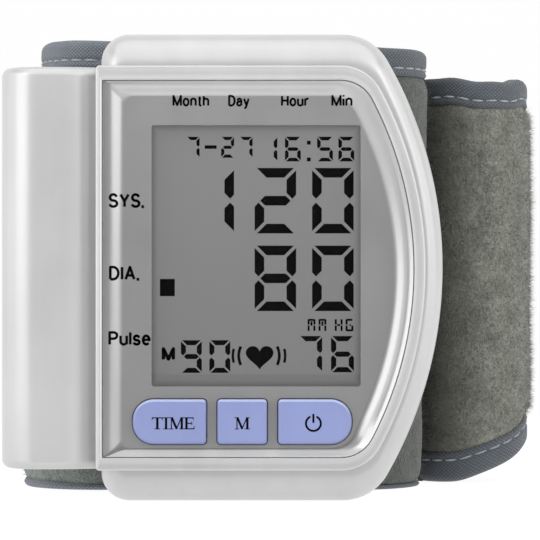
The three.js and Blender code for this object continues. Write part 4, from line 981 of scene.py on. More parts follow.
def build_bezel():
    lip = quarter_round(BEZEL_OUTER_LIP, BEZEL_OUTER_LIP, LIP_STEPS)
    outer = bowed_rings(
        [(BEZEL_OUTER, BEZEL_BOTTOM)] + [(inset(BEZEL_OUTER, edge), depth) for edge, depth in reversed(lip)]
    )
    inner_lip = quarter_round(BEZEL_INNER_LIP, BEZEL_INNER_LIP, LIP_STEPS)
    inner = bowed_rings((inset(BEZEL_INNER, -edge), depth) for edge, depth in inner_lip)
    crest = []
    for share in spread(0, 1, CREST_STEPS)[1:-1]:
        sunk = BEZEL_DISH * math.sin(math.pi * share)
        sides = zip(outer[-1], inner[0])
        crest.append([(lerp(a[0], b[0], share), sunk, lerp(a[2], b[2], share)) for a, b in sides])
    ledge = [
        (0, LEDGE_FRONT),
        (LEDGE_WIDTH, LEDGE_FRONT),
        (LEDGE_WIDTH, LEDGE_BACK),
        (-BEZEL_SKIRT, LEDGE_BACK),
        (-BEZEL_SKIRT, BEZEL_BOTTOM),
    ]
    under = bowed_rings((inset(BEZEL_INNER, amount), depth) for amount, depth in ledge)
    return new_piece("bezel_ring", skin(outer + crest + inner + under, closing=True), case_finish)


PANEL = inset(BEZEL_INNER, PANEL_GAP)


def dish_outline(share):
    """The panel's outline across its sloping border, from 0 at the rim to 1 at the flat."""
    moved = drawn_in(PANEL, *(share * width for width in PANEL_BORDER))
    moved["left_corner"] = lerp(PANEL["left_corner"], DISH_LEFT_CORNER, share)
    moved["right_corner"] = lerp(PANEL["right_corner"], DISH_RIGHT_CORNER, share)
    return moved


def dish_ring(share):
    """One line around the sloping border: lower at the bottom, and with a second slope at the right."""
    rise = RIGHT_RIM_RISE * max(0, 1 - share / RIGHT_RISE_REACH) ** 2
    points = []
    for x, z in bowed(dish_outline(share)):
        right = smooth(x, *RIGHT_SIDE)
        low = 1 - smooth(z, *LOWER_SIDE)
        rim = PANEL_RIM + max(LOWER_RIM_DROP * low, RIGHT_RIM_DROP * right)
        land = lerp(RIM_LAND, RIGHT_RIM_LAND, right) * (1 - low)
        fall = smooth(share, land, 1 - LOWER_FLAT * low)
        points.append((x, lerp(rim, PANEL_FLOOR, fall) - rise * right, z))
    return points


def build_face_panel():
    rim = dish_ring(0)
    sunk_rim = [(x, depth + PANEL_RIM_ROUND, z) for x, depth, z in rim]
    rings = [ring(bowed(PANEL), PANEL_BACK), sunk_rim]
    rings += [dish_ring(share) for share in spread(FIRST_DISH_LINE, 1, DISH_LINES)]
    panel = new_piece("dished_face_panel", skin(rings), panel_finish, PANEL_SHARP)
    through = (-PANEL_BACK, 2 * PANEL_BACK)
    cutters = [prism("window_hole", rounded(GLASS_WINDOW), *through, panel_finish)]
    for button in (TIME_BUTTON, MEMORY_BUTTON, POWER_BUTTON):
        cutters.append(prism("button_hole", rounded(inset(button, -BUTTON_GAP)), *through, panel_finish))
    carve(panel, cutters, PANEL_SHARP)
    soften(panel, WINDOW_BEVEL, PANEL_SHARP)
    return panel


def build_button(name, shape):
    levels = [
        (-BUTTON_FLANGE, FLANGE_BACK),
        (-BUTTON_FLANGE, FLANGE_FRONT),
        (0, FLANGE_FRONT),
    ]
    edges = quarter_round(BUTTON_EDGE, BUTTON_EDGE, BUTTON_EDGE_STEPS)
    levels += [(edge, BUTTON_FRONT + depth) for edge, depth in reversed(edges)]
    half = (BUTTON_TOP - BUTTON_BOTTOM) / 2 - CROWN_CORE
    for amount in spread(BUTTON_EDGE, half, CROWN_LINES)[1:]:
        share = (amount - BUTTON_EDGE) / (half - BUTTON_EDGE)
        levels.append((amount, BUTTON_FRONT - BUTTON_CROWN * (1 - (1 - share) ** 2)))
    rings = [ring(rounded(inset(shape, amount)), depth) for amount, depth in levels]
    centre = ((shape["left"] + shape["right"]) / 2, (BUTTON_BOTTOM + BUTTON_TOP) / 2)
    stem = [ring(circle(*centre, STEM_RADIUS), depth) for depth in (FLANGE_BACK, STEM_BACK)]
    return new_piece(name, gather([skin(rings), skin(stem)]), button_finish)


def cover_profile(offset, right):
    """The battery column in plan, with its right side open towards the case."""
    left = COVER_LEFT + offset
    front = COVER_FRONT + offset
    back = COVER_BACK - offset
    fall = SHOULDER_DROP / (COVER_RIGHT - COVER_CREST) ** 2
    front_round = COVER_FRONT_ROUND - offset
    rear_round = max(COVER_REAR_ROUND - offset, LEAST_CORNER)
    shoulder = spread(right, COVER_CREST, SHOULDER_STEPS)
    points = [(right, back)]
    points += [(x, front + fall * (x - COVER_CREST) ** 2) for x in shoulder]
    middle = (left + front_round, front + front_round)
    points += arc(*middle, front_round, 3 * QUARTER, math.pi, FRONT_ROUND_STEPS)
    return points + arc(left + rear_round, back - rear_round, rear_round, math.pi, QUARTER, REAR_ROUND_STEPS)


def cover_rings(levels, right):
    """Rings of the battery column: levels hold an offset and a height."""
    return [[(x, y, z) for x, y in cover_profile(offset, right)] for offset, z in levels]


def build_battery_cover():
    ends = quarter_round(COVER_END_ROUND, COVER_END_ROUND, COVER_END_STEPS)
    outside = [(edge, COVER_BOTTOM + depth) for edge, depth in ends]
    outside += [(edge, COVER_TOP - depth) for edge, depth in reversed(ends)]
    inside = [(COVER_WALL, COVER_BOTTOM + COVER_WALL), (COVER_WALL, COVER_TOP - COVER_WALL)]
    cover = new_piece("battery_cover_shell", skin(cover_rings(outside, COVER_RIGHT)), case_finish)
    hollow = new_piece("hollow", skin(cover_rings(inside, COVER_RIGHT + COVER_WALL)), case_finish)
    carve(cover, [hollow])
    soften(cover, COVER_LIP)
    return cover


# Printed marks and display segments
INK = 0.02
INK_STEP = 0.5
INK_CUTS = 4
PRINT_REACH = 10


def ink(name, polygons, depth_at, material):
    """Flat strokes laid on a surface and given a film's thickness."""
    form = bmesh.new()
    for polygon in polygons:
        form.faces.new([form.verts.new((x, 0, z)) for x, z in polygon])
    form.normal_update()
    bmesh.ops.triangulate(form, faces=form.faces)
    for _ in range(INK_CUTS):
        long_edges = [edge for edge in form.edges if edge.calc_length() > INK_STEP]
        if long_edges:
            bmesh.ops.subdivide_edges(form, edges=long_edges, cuts=1)
            bmesh.ops.triangulate(form, faces=form.faces)
    front = list(form.faces)
    copied = bmesh.ops.extrude_face_region(form, geom=front)["geom"]
    raised = {corner for corner in copied if isinstance(corner, bmesh.types.BMVert)}
    for corner in form.verts:
        x, _, z = corner.co
        lift = -INK if corner in raised else INK
        corner.co = at(x, depth_at(x, z) + lift, z)
    bmesh.ops.recalc_face_normals(form, faces=form.faces)
    mesh = bpy.data.meshes.new(name)
    form.to_mesh(mesh)
    form.free()
    mesh.materials.append(material)
    return add_object(name, mesh)


def front_of(piece):
    """How far back the front of a piece lies at a place."""
    points = [corner.co for corner in piece.data.vertices]
    surface = BVHTree.FromPolygons(points, [face.vertices for face in piece.data.polygons])
    back = Vector((0, 1, 0))

    def depth_at(x, z):
        _, _, _, distance = surface.ray_cast(at(x, -PRINT_REACH, z), back)
        return distance / MM - PRINT_REACH

    return depth_at


# Segments of each digit from a at the top, clockwise, to g in the middle
SEGMENTS_OF = {
    "0": "abcdef",
    "1": "bc",
    "2": "abged",
    "5": "afgcd",
    "6": "afgedc",
    "7": "abc",
    "8": "abcdefg",
    "9": "abfgcd",
}
# Shares of a segment's thickness: gap at a mitre, ends of the middle bar, and foot of an upright
SEGMENT_GAP = 0.24
BAR_POINT = 0.58
BAR_SHOULDER = 1.08
UPRIGHT_FOOT = ((1, 0.8), (0.4, 0.2), (0, 0.63))


def seven_segments(digit, left, bottom, width, height, thick):
    """The lit segments of one digit, mitred with even gaps."""
    gap = SEGMENT_GAP * thick
    middle = height / 2
    under = height - thick
    top = [(gap, height), (width - gap, height), (width - gap - thick, under), (gap + thick, under)]
    point, shoulder = BAR_POINT * thick, BAR_SHOULDER * thick
    bar = [
        (point, middle),
        (shoulder, middle + thick / 2),
        (width - shoulder, middle + thick / 2),
        (width - point, middle),
        (width - shoulder, middle - thick / 2),
        (shoulder, middle - thick / 2),
    ]
    upper_left = [(0, height - gap), (thick, under - gap)]
    upper_left += [(x * thick, middle + z * thick) for x, z in UPRIGHT_FOOT]
    over = lambda shape: [(x, height - z) for x, z in shape]
    across = lambda shape: [(width - x, z) for x, z in shape]
    shapes = {
        "a": top,
        "b": across(upper_left),
        "c": across(over(upper_left)),
        "d": over(top),
        "e": over(upper_left),
        "f": upper_left,
        "g": bar,
    }
    return [[(left + x, bottom + z) for x, z in shapes[key]] for key in SEGMENTS_OF[digit]]


def stroke(start, end, width):
    """A straight stroke with square ends."""
    along = Vector(end) - Vector(start)
    side = Vector((-along.y, along.x)).normalized() * width / 2
    first, last = Vector(start), Vector(end)
    return [first + side, first - side, last - side, last + side]


def box(left, bottom, right, top):
    """A rectangle."""
    return [(left, bottom), (right, bottom), (right, top), (left, top)]


def sector(x, z, inner, outer, start, end, steps=SECTOR_STEPS):
    """A piece of a ring between two angles in degrees."""
    first, last = math.radians(start), math.radians(end)
    return arc(x, z, outer, first, last, steps) + arc(x, z, inner, last, first, steps)


# The heart's curve: shares of the cosines of 1 to 4 times its angle, its lowest value and its extent
HEART_COSINES = (13, -5, -2, -1)
HEART_LOW = -17
HEART_TALL = 29
HEART_STEPS = 48


def heart(x, bottom, width, height):
    """A heart outline."""
    points = []
    for angle in spread(0, 2 * math.pi, HEART_STEPS)[:-1]:
        across = math.sin(angle) ** 3 / 2
        up = sum(share * math.cos((i + 1) * angle) for i, share in enumerate(HEART_COSINES))
        points.append((x + across * width, bottom + (up - HEART_LOW) * height / HEART_TALL))
    return points


def small_letters(left, bottom):
    """The unit's letters, drawn as thin segments."""
    wide, tall, pen, gap, trim = 1.22, 1.95, 0.32, 0.07, 0.1
    half = tall / 2
    upper_leg = lambda x: box(x, half + gap, x + pen, tall - gap)
    lower_leg = lambda x: box(x, gap, x + pen, half - gap)
    legs = lambda: [leg(x) for leg in (upper_leg, lower_leg) for x in (0, wide - pen)]
    top_bar = box(gap + trim, tall - pen, wide - gap - trim, tall)
    middle_bar = box(pen + gap, half - pen / 2, wide - pen - gap, half + pen / 2)
    spine = box(wide / 2 - pen / 2, half - trim, wide / 2 + pen / 2, tall - pen - gap)
    letter_m = legs() + [top_bar, spine]
    letter_h = legs() + [middle_bar]
    letter_g = [
        upper_leg(0),
        lower_leg(0),
        lower_leg(wide - pen),
        top_bar,
        box(gap + trim, 0, wide - gap - trim, pen),
        box(wide / 2, half - pen / 2, wide - pen - gap, half + pen / 2),
    ]
    shapes = []
    for letter, start in ((letter_m, 0), (letter_m, 1.7), (letter_h, 4.23), (letter_g, 5.91)):
        shapes += [[(left + start + x, bottom + z) for x, z in shape] for shape in letter]
    return shapes


def bow(x, z, wide, tall, start, end):
    """Part of an oval between two angles in degrees."""
    return oval(x, z, wide, tall, math.radians(start), math.radians(end), CORNER_STEPS)


# Sans letters as pen strokes, with capitals one unit high: lines of points, and each letter's width
SANS = {
    "M": ([[(0, 0), (0, 1), (0.36, 0.04), (0.72, 1), (0.72, 0)]], 0.72),
    "D": ([[(0, 0), (0, 1)] + bow(0.2, 0.5, 0.36, 0.5, 90, -90) + [(0, 0)]], 0.56),
    "H": ([[(0, 0), (0, 1)], [(0.56, 0), (0.56, 1)], [(0, 0.52), (0.56, 0.52)]], 0.56),
    "S": ([bow(0.27, 0.745, 0.24, 0.255, 15, 265) + bow(0.27, 0.25, 0.27, 0.25, 85, -165)], 0.54),
    "Y": ([[(0, 1), (0.29, 0.44), (0.58, 1)], [(0.29, 0.44), (0.29, 0)]], 0.58),
    "I": ([[(0, 0), (0, 1)]], 0.0),
    "A": ([[(0, 0), (0.3, 1), (0.6, 0)], [(0.1, 0.32), (0.5, 0.32)]], 0.6),
    "P": ([[(0, 0), (0, 1)] + bow(0.28, 0.74, 0.25, 0.26, 90, -90) + [(0, 0.48)]], 0.53),
    "o": ([bow(0.24, 0.36, 0.24, 0.36, 0, 360)], 0.48),
    "n": ([[(0, 0), (0, 0.72)], bow(0.22, 0.48, 0.22, 0.24, 180, 0) + [(0.44, 0)]], 0.44),
    "h": ([[(0, 0), (0, 1)], bow(0.22, 0.48, 0.22, 0.24, 180, 0) + [(0.44, 0)]], 0.44),
    "t": ([[(0.12, 0.94)] + bow(0.24, 0.12, 0.12, 0.12, 180, 270), [(0, 0.72), (0.26, 0.72)]], 0.26),
    "a": (
        [
            bow(0.22, 0.5, 0.19, 0.22, 165, 0) + [(0.41, 0.1), (0.46, 0)],
            bow(0.2, 0.21, 0.2, 0.21, 75, 330),
            [(0.25, 0.41), (0.41, 0.45)],
        ],
        0.44,
    ),
    "y": ([[(0, 0.72), (0.23, 0.02)], [(0.46, 0.72), (0.2, -0.16), (0.12, -0.26), (0.02, -0.26)]], 0.46),
    "u": ([[(0, 0.72)] + bow(0.22, 0.24, 0.22, 0.24, 180, 360), [(0.44, 0.72), (0.44, 0)]], 0.44),
    "r": ([[(0, 0), (0, 0.72)], bow(0.26, 0.44, 0.26, 0.28, 180, 85)], 0.26),
    "i": ([[(0, 0), (0, 0.72)], [(0, 0.93), (0, 1.09)]], 0.0),
    "l": ([[(0, 0), (0, 1)]], 0.0),
    "s": ([bow(0.2, 0.53, 0.18, 0.19, 15, 265) + bow(0.2, 0.18, 0.2, 0.18, 85, -165)], 0.4),
    "e": ([[(0.02, 0.38), (0.47, 0.38)] + bow(0.24, 0.36, 0.23, 0.36, 0, 318)], 0.48),
    ".": ([[(0, -0.12), (0, 0.12)]], 0.0),
}
LETTER_SPACE = 0.26
PEN_STEPS = 10


def pen_line(points, width):
    """A line drawn with a round pen: a stroke for each side and a disc at each bend."""
    shapes = [stroke(a, b, width) for a, b in zip(points, points[1:])]
    return shapes + [circle(*point, width / 2, PEN_STEPS) for point in points[1:-1]]


def sans_word(text, left, base, height, width, weight):
    """A word's strokes between its left end and width: weight is the pen's share of the height."""
    lines, start = [], 0.0
    for letter in text:
        drawn_lines, wide = SANS[letter]
        lines += [[(start + x, z) for x, z in line] for line in drawn_lines]
        start += wide + LETTER_SPACE
    total = start - LETTER_SPACE
    pen = weight * height
    across = (width - pen) / total if total else 1.0
    shapes = []
    for line in lines:
        placed = [(left + pen / 2 + x * across, base + pen / 2 + z * (height - pen)) for x, z in line]
        shapes += pen_line(placed, pen)
    return shapes


# Widths, heights and thicknesses of the display's digits
LARGE = (6.46, 10.18, 1.49)
DATE = (2.02, 3.25, 0.5)
CLOCK = (2.46, 3.83, 0.56)
RECALL = (3.25, 5.08, 0.78)
PULSE = (3.57, 5.64, 0.81)
# Digits of the display: text, left, bottom and size, from the window's lower left corner
DISPLAY_DIGITS = [
    ("1", 6.29, 23.75, LARGE),
    ("2", 15.96, 23.75, LARGE),
    ("0", 24.91, 23.75, LARGE),
    ("8", 15.96, 11.66, LARGE),
    ("0", 24.91, 11.66, LARGE),
    ("7", 5.37, 35.53, DATE),
    ("2", 10.74, 35.53, DATE),
    ("7", 13.62, 35.53, DATE),
    ("1", 17.03, 34.96, CLOCK),
    ("6", 20.68, 34.96, CLOCK),
    ("5", 25.68, 34.96, CLOCK),
    ("6", 29.0, 34.96, CLOCK),
    ("9", 4.48, 2.04, RECALL),
    ("0", 8.91, 2.04, RECALL),
    ("7", 22.9, 2.13, PULSE),
    ("6", 27.85, 2.13, PULSE),
]
# The date's dash, the clock's two dots and the block beside the lower value
DISPLAY_BLOCKS = [
    (8.19, 36.92, 10.04, 37.46),
    (24.09, 37.57, 24.69, 38.17),
    (24.09, 34.96, 24.69, 35.57),
    (1.21, 13.98, 3.53, 16.66),
]
HEART = (16.74, 2.46, 4.31, 3.75)
# Beats beside the heart: their middle, and for each how far it is drawn in, its radii and half its angle
BEAT_MIDDLE = (16.64, 4.7)
BEATS = [(0.12, 3.05, 3.5, 26), (0.08, 3.95, 4.35, 15)]
UNIT_PLACE = (24.2, 8.5)
RECALL_MARK = ("M", 1.48, 3.85, 2.2, 2.1, 0.25)
DISPLAY_FRONT = 4.4


def build_display_marks():
    shapes = []
    for digit, left, bottom, size in DISPLAY_DIGITS:
        shapes += seven_segments(digit, left, bottom, *size)
    shapes += [box(*block) for block in DISPLAY_BLOCKS] + [heart(*HEART)]
    x, z = BEAT_MIDDLE
    for side, way in ((0, 1), (180, -1)):
        for drawn, inner, outer, half in BEATS:
            shapes.append(sector(x - way * drawn, z, inner, outer, side - half, side + half))
    shapes += small_letters(*UNIT_PLACE)
    shapes += sans_word(*RECALL_MARK)
    moved = [[(x + GLASS_WINDOW["left"], z + GLASS_WINDOW["bottom"]) for x, z in shape] for shape in shapes]
    return ink("display_segments", moved, lambda x, z: DISPLAY_FRONT, segment_finish)


# Labels on the panel: text, left end, baseline, height of a capital and width
PANEL_WORDS = [
    ("Month", -7.6, 61.4, 1.8, 5.7),
    ("Day", 1.02, 61.4, 1.8, 3.33),
    ("Hour", 9.2, 61.4, 1.8, 4.32),
    ("Min", 17.0, 61.4, 1.8, 3.26),
    ("SYS.", -17.5, 45.7, 2.3, 5.5),
    ("DIA.", -17.4, 34.46, 2.3, 4.65),
    ("Pulse", -17.5, 24.38, 2.27, 6.55),
]
WORD_WEIGHT = 0.18


def build_panel_words(panel):
    shapes = [shape for word in PANEL_WORDS for shape in sans_word(*word, WORD_WEIGHT)]
    return ink("panel_words", shapes, front_of(panel), print_finish)


# Serif letters of the buttons, about their own middles: each gives its shapes and its width
SERIF = 0.12
STEM_SERIF = 0.9
THIN_PEN = 0.16
THICK_PEN = 0.36


def serif(x, z, width):
    return box(x - width / 2, z, x + width / 2, z + SERIF)


def upright(x, pen, height):
    return box(x - pen / 2, 0, x + pen / 2, height)


def letter_i(height):
    shapes = [upright(0, THICK_PEN, height), serif(0, 0, STEM_SERIF), serif(0, height - SERIF, STEM_SERIF)]
    return shapes, 0.95


def letter_t(height):
    arm, beak, drop = 0.85, 0.18, 0.55
    return [
        upright(0, THICK_PEN, height),
        serif(0, 0, STEM_SERIF),
        box(-arm, height - THIN_PEN, arm, height),
        [(-arm, height), (-arm, height - drop), (-arm + beak, height - THIN_PEN)],
        [(arm, height), (arm - beak, height - THIN_PEN), (arm, height - drop)],
    ], 1.75


def letter_e(height):
    left, right = -0.75, 0.75
    stem = left + 0.3
    return [
        upright(stem, THICK_PEN, height),
        box(left, 0, right, THIN_PEN),
        box(left, height - THIN_PEN, right - 0.1, height),
        box(stem, height / 2 - THIN_PEN / 2, right - 0.35, height / 2 + THIN_PEN / 2),
        [(right, 0), (right + 0.12, 0.6), (right - 0.15, THIN_PEN)],
        [(right - 0.1, height), (right - 0.25, height - THIN_PEN), (right - 0.06, height - 0.52)],
        box(right - 0.42, height / 2 - 0.28, right - 0.32, height / 2 + 0.28),
    ], 1.65


def letter_m(height):
    left, right = -0.8, 0.8
    return [
        upright(left, THIN_PEN, height),
        upright(right, THICK_PEN, height),
        stroke((left + 0.05, height), (0.02, 0.05), THICK_PEN * 0.95),
        stroke((-0.02, 0.05), (right - 0.05, height), THIN_PEN),
        serif(left, 0, 0.62),
        serif(right, 0, 0.8),
        serif(left - 0.08, height - SERIF, 0.56),
        serif(right + 0.06, height - SERIF, 0.6),
    ], 2.3


def serif_word(letters, middle, base, height):
    """Letters set side by side about a middle."""
    made = [letter(height) for letter in letters]
    total = sum(width for _, width in made)
    start = middle - total / 2
    shapes = []
    for polygons, width in made:
        centre = start + width / 2
        shapes += [[(centre + x, base + z) for x, z in polygon] for polygon in polygons]
        start += width
    return shapes


def power_symbol(x, z, radius):
    """An open ring with a bar in its gap."""
    pen, bar_low, bar_past = 0.32, 0.1, 0.32
    start, end = 120, 420
    loop = sector(x, z, radius - pen / 2, radius + pen / 2, start, end, POWER_RING_STEPS)
    bar = box(x - pen / 2, z + bar_low, x + pen / 2, z + radius + bar_past)
    tips = arc(x, z, radius, math.radians(end), math.radians(start), 1)
    return [loop, bar, *(circle(*tip, pen / 2, ROUND_STEPS) for tip in tips)]


# Cuff: lines in plan, and cloth along them


class ClothPath:
    """A line in plan: points, ways towards the inside, and distances from its start."""

    def __init__(self, steps, right_lean=0.0):
        self.right_lean = right_lean
        self.points, self.inward, self.along = [], [], []
        for point, inward in steps:
            if self.points and (point - self.points[-1]).length < SAME_PLACE:
                continue
            self.along.append(self.along[-1] + (point - self.points[-1]).length if self.points else 0.0)
            self.points.append(point)
            self.inward.append(inward)
        self.length = self.along[-1]

    def spot(self, along, depth, z):
        """The place at a distance along the line, a depth inwards and a height."""
        last = len(self.along) - 2
        i = min(max(bisect.bisect_right(self.along, along) - 1, 0), last)
        share = (along - self.along[i]) / (self.along[i + 1] - self.along[i])
        point = self.points[i].lerp(self.points[i + 1], share)
        inward = self.inward[i].lerp(self.inward[i + 1], min(max(share, 0), 1)).normalized()
        lean = LEFT_LEAN * smooth(-point.x, LOOP_BEND, LOOP_RADIUS) * z / CUFF_HEIGHT
        lean += self.right_lean * smooth(point.x, LOOP_BEND, LOOP_RADIUS) * (1 - z / CUFF_HEIGHT)
        place = point + inward * (depth + lean)
        return (place.x, place.y, z)


def arc_steps(x, y, radius_at, start, end):
    """Points and inward ways along an arc whose radius may change."""
    steps = max(2, math.ceil(abs(math.radians(end - start)) * radius_at(1) / (CLOTH_STEP / 2)))
    made = []
    for share in spread(0, 1, steps):
        angle = math.radians(lerp(start, end, share))
        out = Vector((math.cos(angle), math.sin(angle)))
        made.append((Vector((x, y)) + out * radius_at(share), -out))
    return made


def loop_line():
    """The stiff loop: from its tip at the right, round the front and to the strap's root."""
    return ClothPath(
        arc_steps(0, LOOP_BACK, lambda t: LOOP_RADIUS, TIP_ANGLE, 0)
        + arc_steps(LOOP_BEND, LOOP_BACK, lambda t: LOOP_CORNER, 0, -90)
        + arc_steps(-LOOP_BEND, LOOP_BACK, lambda t: LOOP_CORNER, -90, -180)
        + arc_steps(0, LOOP_BACK, lambda t: LOOP_RADIUS, 180, STRAP_ANGLE),
        RIGHT_LEAN,
    )


def strap_line():
    """The strap: from its root over the back of the loop, and round a bulge at the right."""
    distance = math.hypot(BULGE_X, BULGE_Y - LOOP_BACK)
    tilt = math.atan2(BULGE_Y - LOOP_BACK, BULGE_X)
    leave = math.degrees(tilt + math.acos((STRAP_RADIUS - BULGE_RADIUS) / distance))
    growing = lambda t: lerp(LOOP_RADIUS, STRAP_RADIUS, smooth(t, 0, 1))
    root = arc_steps(0, LOOP_BACK, lambda t: LOOP_RADIUS, STRAP_ANGLE, STRAP_START)
    back = arc_steps(0, LOOP_BACK, growing, STRAP_START, leave)
    bulge = arc_steps(BULGE_X, BULGE_Y, lambda t: BULGE_RADIUS, leave, BULGE_END)
    run = (bulge[0][0] - back[-1][0]).length
    pieces = max(2, math.ceil(run / CLOTH_STEP))
    straight = [(back[-1][0].lerp(bulge[0][0], i / pieces), back[-1][1]) for i in range(1, pieces)]
    return ClothPath(root + back + straight + bulge)


LOOP_PATH = loop_line()
STRAP_PATH = strap_line()


def along_bulge(angle):
    """How far along the strap an angle of its bulge lies."""
    return STRAP_PATH.length - math.radians(angle - BULGE_END) * BULGE_RADIUS


HIGHEST_AT = along_bulge(0)


def high_left(path, along):
    """How far the upper edge climbs towards the left, with a soft ripple."""
    x, y, _ = path.spot(along, 0, 0)
    return LEFT_RISE * smooth(-x, *RISE_SPAN) + EDGE_RIPPLE * noise.noise(Vector((x, y, 0)) * RIPPLE_SCALE)


def strap_low(along):
    """The strap's lower edge: level at its tip, then a straight climb and a rounded corner at the right."""
    if along < HIGHEST_AT:
        return STRAP_RISE * smooth(along, 0, HIGHEST_AT)
    x, _, _ = STRAP_PATH.spot(along, 0, 0)
    share = (x - STRAP_LEVEL_X) / (BULGE_X + BULGE_RADIUS - STRAP_LEVEL_X)
    climb = (share + math.hypot(share, CLIMB_ROUND)) / 2
    return STRAP_RISE * lerp(climb, max(0, share) ** CORNER_POWER, CORNER_SHARE)


def strap_high(along):
    """The strap's upper edge, wavy where it is loose."""
    wave = sum(height * math.sin(along * rate + start) for height, rate, start in STRAP_WAVES)
    wave += TIP_LIFT * (1 - smooth(STRAP_PATH.length - along, *TIP_LIFT_SPAN))
    climb = high_left(STRAP_PATH, along) * (1 - smooth(along, 0, HIGHEST_AT / 2))
    level = lerp(LOOP_TOP, STRAP_TOP, smooth(along, 0, HIGHEST_AT))
    return level + climb + smooth(along, *WAVE_SPAN) * wave


def loop_high(along):
    return LOOP_TOP + high_left(LOOP_PATH, along)


def towards_strap(along, loop_value, strap_value):
    """A value of the padded loop that becomes the strap's at the loop's end."""
    end = LOOP_PATH.length
    return lerp(loop_value, strap_value, smooth(along, end - TAPER_LENGTH, end))


def loop_thickness(along):
    return towards_strap(along, CUFF_THICKNESS, STRAP_THICKNESS)


def loop_lower_hem(along):
    """The loop's lower tape is turned mostly to the inside, least so at the left."""
    x, _, _ = LOOP_PATH.spot(along, 0, 0)
    return lerp(*LOOP_LOWER_HEMS, smooth(-x, *HEM_SPAN))


class Band(SimpleNamespace):
    """A strip of the cuff: its line, edges, hems, tip, way from the tip, pile and finishes."""

    def run(self, from_tip):
        """Start and end of what begins this far from the tip and goes on to the root."""
        return sorted((self.tip + self.way * from_tip, self.path.length - self.tip))

    def inside_hems(self, along, z):
        """How far a place lies inside the tapes."""
        return min(
            z - self.low(along) - self.lower_hem(along),
            self.high(along) - z - TAPE_WIDTH,
            self.way * (along - self.tip) - self.tip_hem,
        )

    def free(self, along):
        """0 where the case's plate presses the cloth flat."""
        x, y, _ = self.path.spot(along, 0, 0)
        return 1.0 if y > LOOP_BACK else smooth(abs(x), PLATE_REACH, PLATE_REACH + PLATE_FADE)

    def pile(self, along, z):
        """How far the brushed pile stands off its cloth."""
        inside = self.inside_hems(along, z)
        place = Vector(self.path.spot(along, 0, z))
        lumps = LUMP_HEIGHT * noise.noise(place * LUMP_SCALE)
        lumps += self.coarse * sum(noise.noise(place * scale) for scale in CLUMP_SCALES)
        swell = self.loft * smooth(inside, PILE_START, PILE_RISE) + lumps * smooth(inside, *LUMP_SPAN)
        return swell * self.free(along)

    def pile_top(self, along, z):
        return -self.pile(along, z)


LOOP = Band(
    name="loop",
    path=LOOP_PATH,
    low=lambda along: 0.0,
    high=loop_high,
    thickness=loop_thickness,
    lower_hem=loop_lower_hem,
    low_stitch=STITCH_DROP,
    tip=0,
    way=1,
    tip_hem=LOOP_TIP_HEM,
    loft=LOOP_LOFT,
    coarse=0.05,
    plush_finish=loop_plush_finish,
    tape_finish=loop_tape_finish,
)
STRAP = Band(
    name="strap",
    path=STRAP_PATH,
    low=strap_low,
    high=strap_high,
    thickness=lambda along: STRAP_THICKNESS,
    lower_hem=lambda along: STRAP_LOWER_HEM,
    low_stitch=STRAP_LOWER_STITCH,
    tip=STRAP_PATH.length,
    way=-1,
    tip_hem=STRAP_TIP_HEM,
    loft=STRAP_LOFT,
    coarse=0.1,
    plush_finish=strap_plush_finish,
    tape_finish=strap_tape_finish,
)


def cloth_sheet(name, band, start, end, near, far, material):
    """A sheet of cloth along a band: near and far are its two faces."""
    rings, marks = [], []
    rows = math.ceil((band.high(start) - band.low(start)) / ROW_STEP)
    for along in spread(start, end, math.ceil((end - start) / CLOTH_STEP)):
        heights = spread(band.low(along) + CLOTH_EDGE, band.high(along) - CLOTH_EDGE, rows)
        front = [band.path.spot(along, near(along, z), z) for z in heights]
        back = [band.path.spot(along, far(along, z), z) for z in reversed(heights)]
        rings.append(front + back)
        marks += [(along, z) for z in heights + heights[::-1]]
    return new_piece(name, skin(rings), material, CLOTH_SHARP, marks)


def tape_leg(hem, stitch):
    """One side of a folded tape, from its hem to the fold: pairs of reach and distance from the edge."""
    held = smooth(hem, stitch, stitch + HOLD_REACH)
    turn = min(TAPE_ROUND, TURN_SHARE * hem)
    points = []
    for drop in spread(hem, turn, LEG_STEPS):
        pinch = held * TAPE_PINCH * math.exp(-(((drop - stitch) / PINCH_WIDTH) ** 2))
        tuck = HEM_TUCK * smooth(drop, hem - TUCK_REACH, hem)
        points.append((TAPE_OUT - pinch - tuck, drop))
    for angle in spread(0, QUARTER, FOLD_STEPS)[1:]:
        points.append((TAPE_OUT - turn * (1 - math.cos(angle)), turn * (1 - math.sin(angle))))
    return points


def fold_line(thickness, outer_hem, inner_hem, stitch):
    """A tape folded over an edge: pairs of depth and distance from the edge, from hem to hem."""
    outside = [(-out, drop) for out, drop in tape_leg(outer_hem, stitch)]
    inside = [(thickness + out, drop) for out, drop in tape_leg(inner_hem, stitch)]
    return outside + inside[::-1]


def under_side(line):
    """A line moved in by the tape's own thickness."""
    moved = []
    for i, (depth, drop) in enumerate(line):
        before, after = line[max(i - 1, 0)], line[min(i + 1, len(line) - 1)]
        way = Vector((after[0] - before[0], after[1] - before[1])).normalized()
        moved.append((depth - way.y * TAPE_CLOTH, drop + way.x * TAPE_CLOTH))
    return moved


def run_lengths(line):
    """Distances along a line of points from its start."""
    return list(itertools.accumulate(map(math.dist, line, line[1:]), initial=0.0))


def edge_tape(name, band, edge, way, hem, stitch):
    """Tape folded over a long edge: way is 1 on a lower edge and -1 on an upper one."""
    start, end = band.run(band.tip_hem - TAPE_LAP)
    rings, marks = [], []
    for along in spread(start, end, math.ceil((end - start) / CLOTH_STEP)):
        line = fold_line(band.thickness(along), hem(along), TAPE_WIDTH, stitch)
        lengths = run_lengths(line)
        both = line + under_side(line)[::-1]
        rings.append([band.path.spot(along, depth, edge(along) + way * drop) for depth, drop in both])
        marks += [(along, across) for across in lengths + lengths[::-1]]
    return new_piece(name, skin(rings), band.tape_finish, TAPE_SHARP, marks)


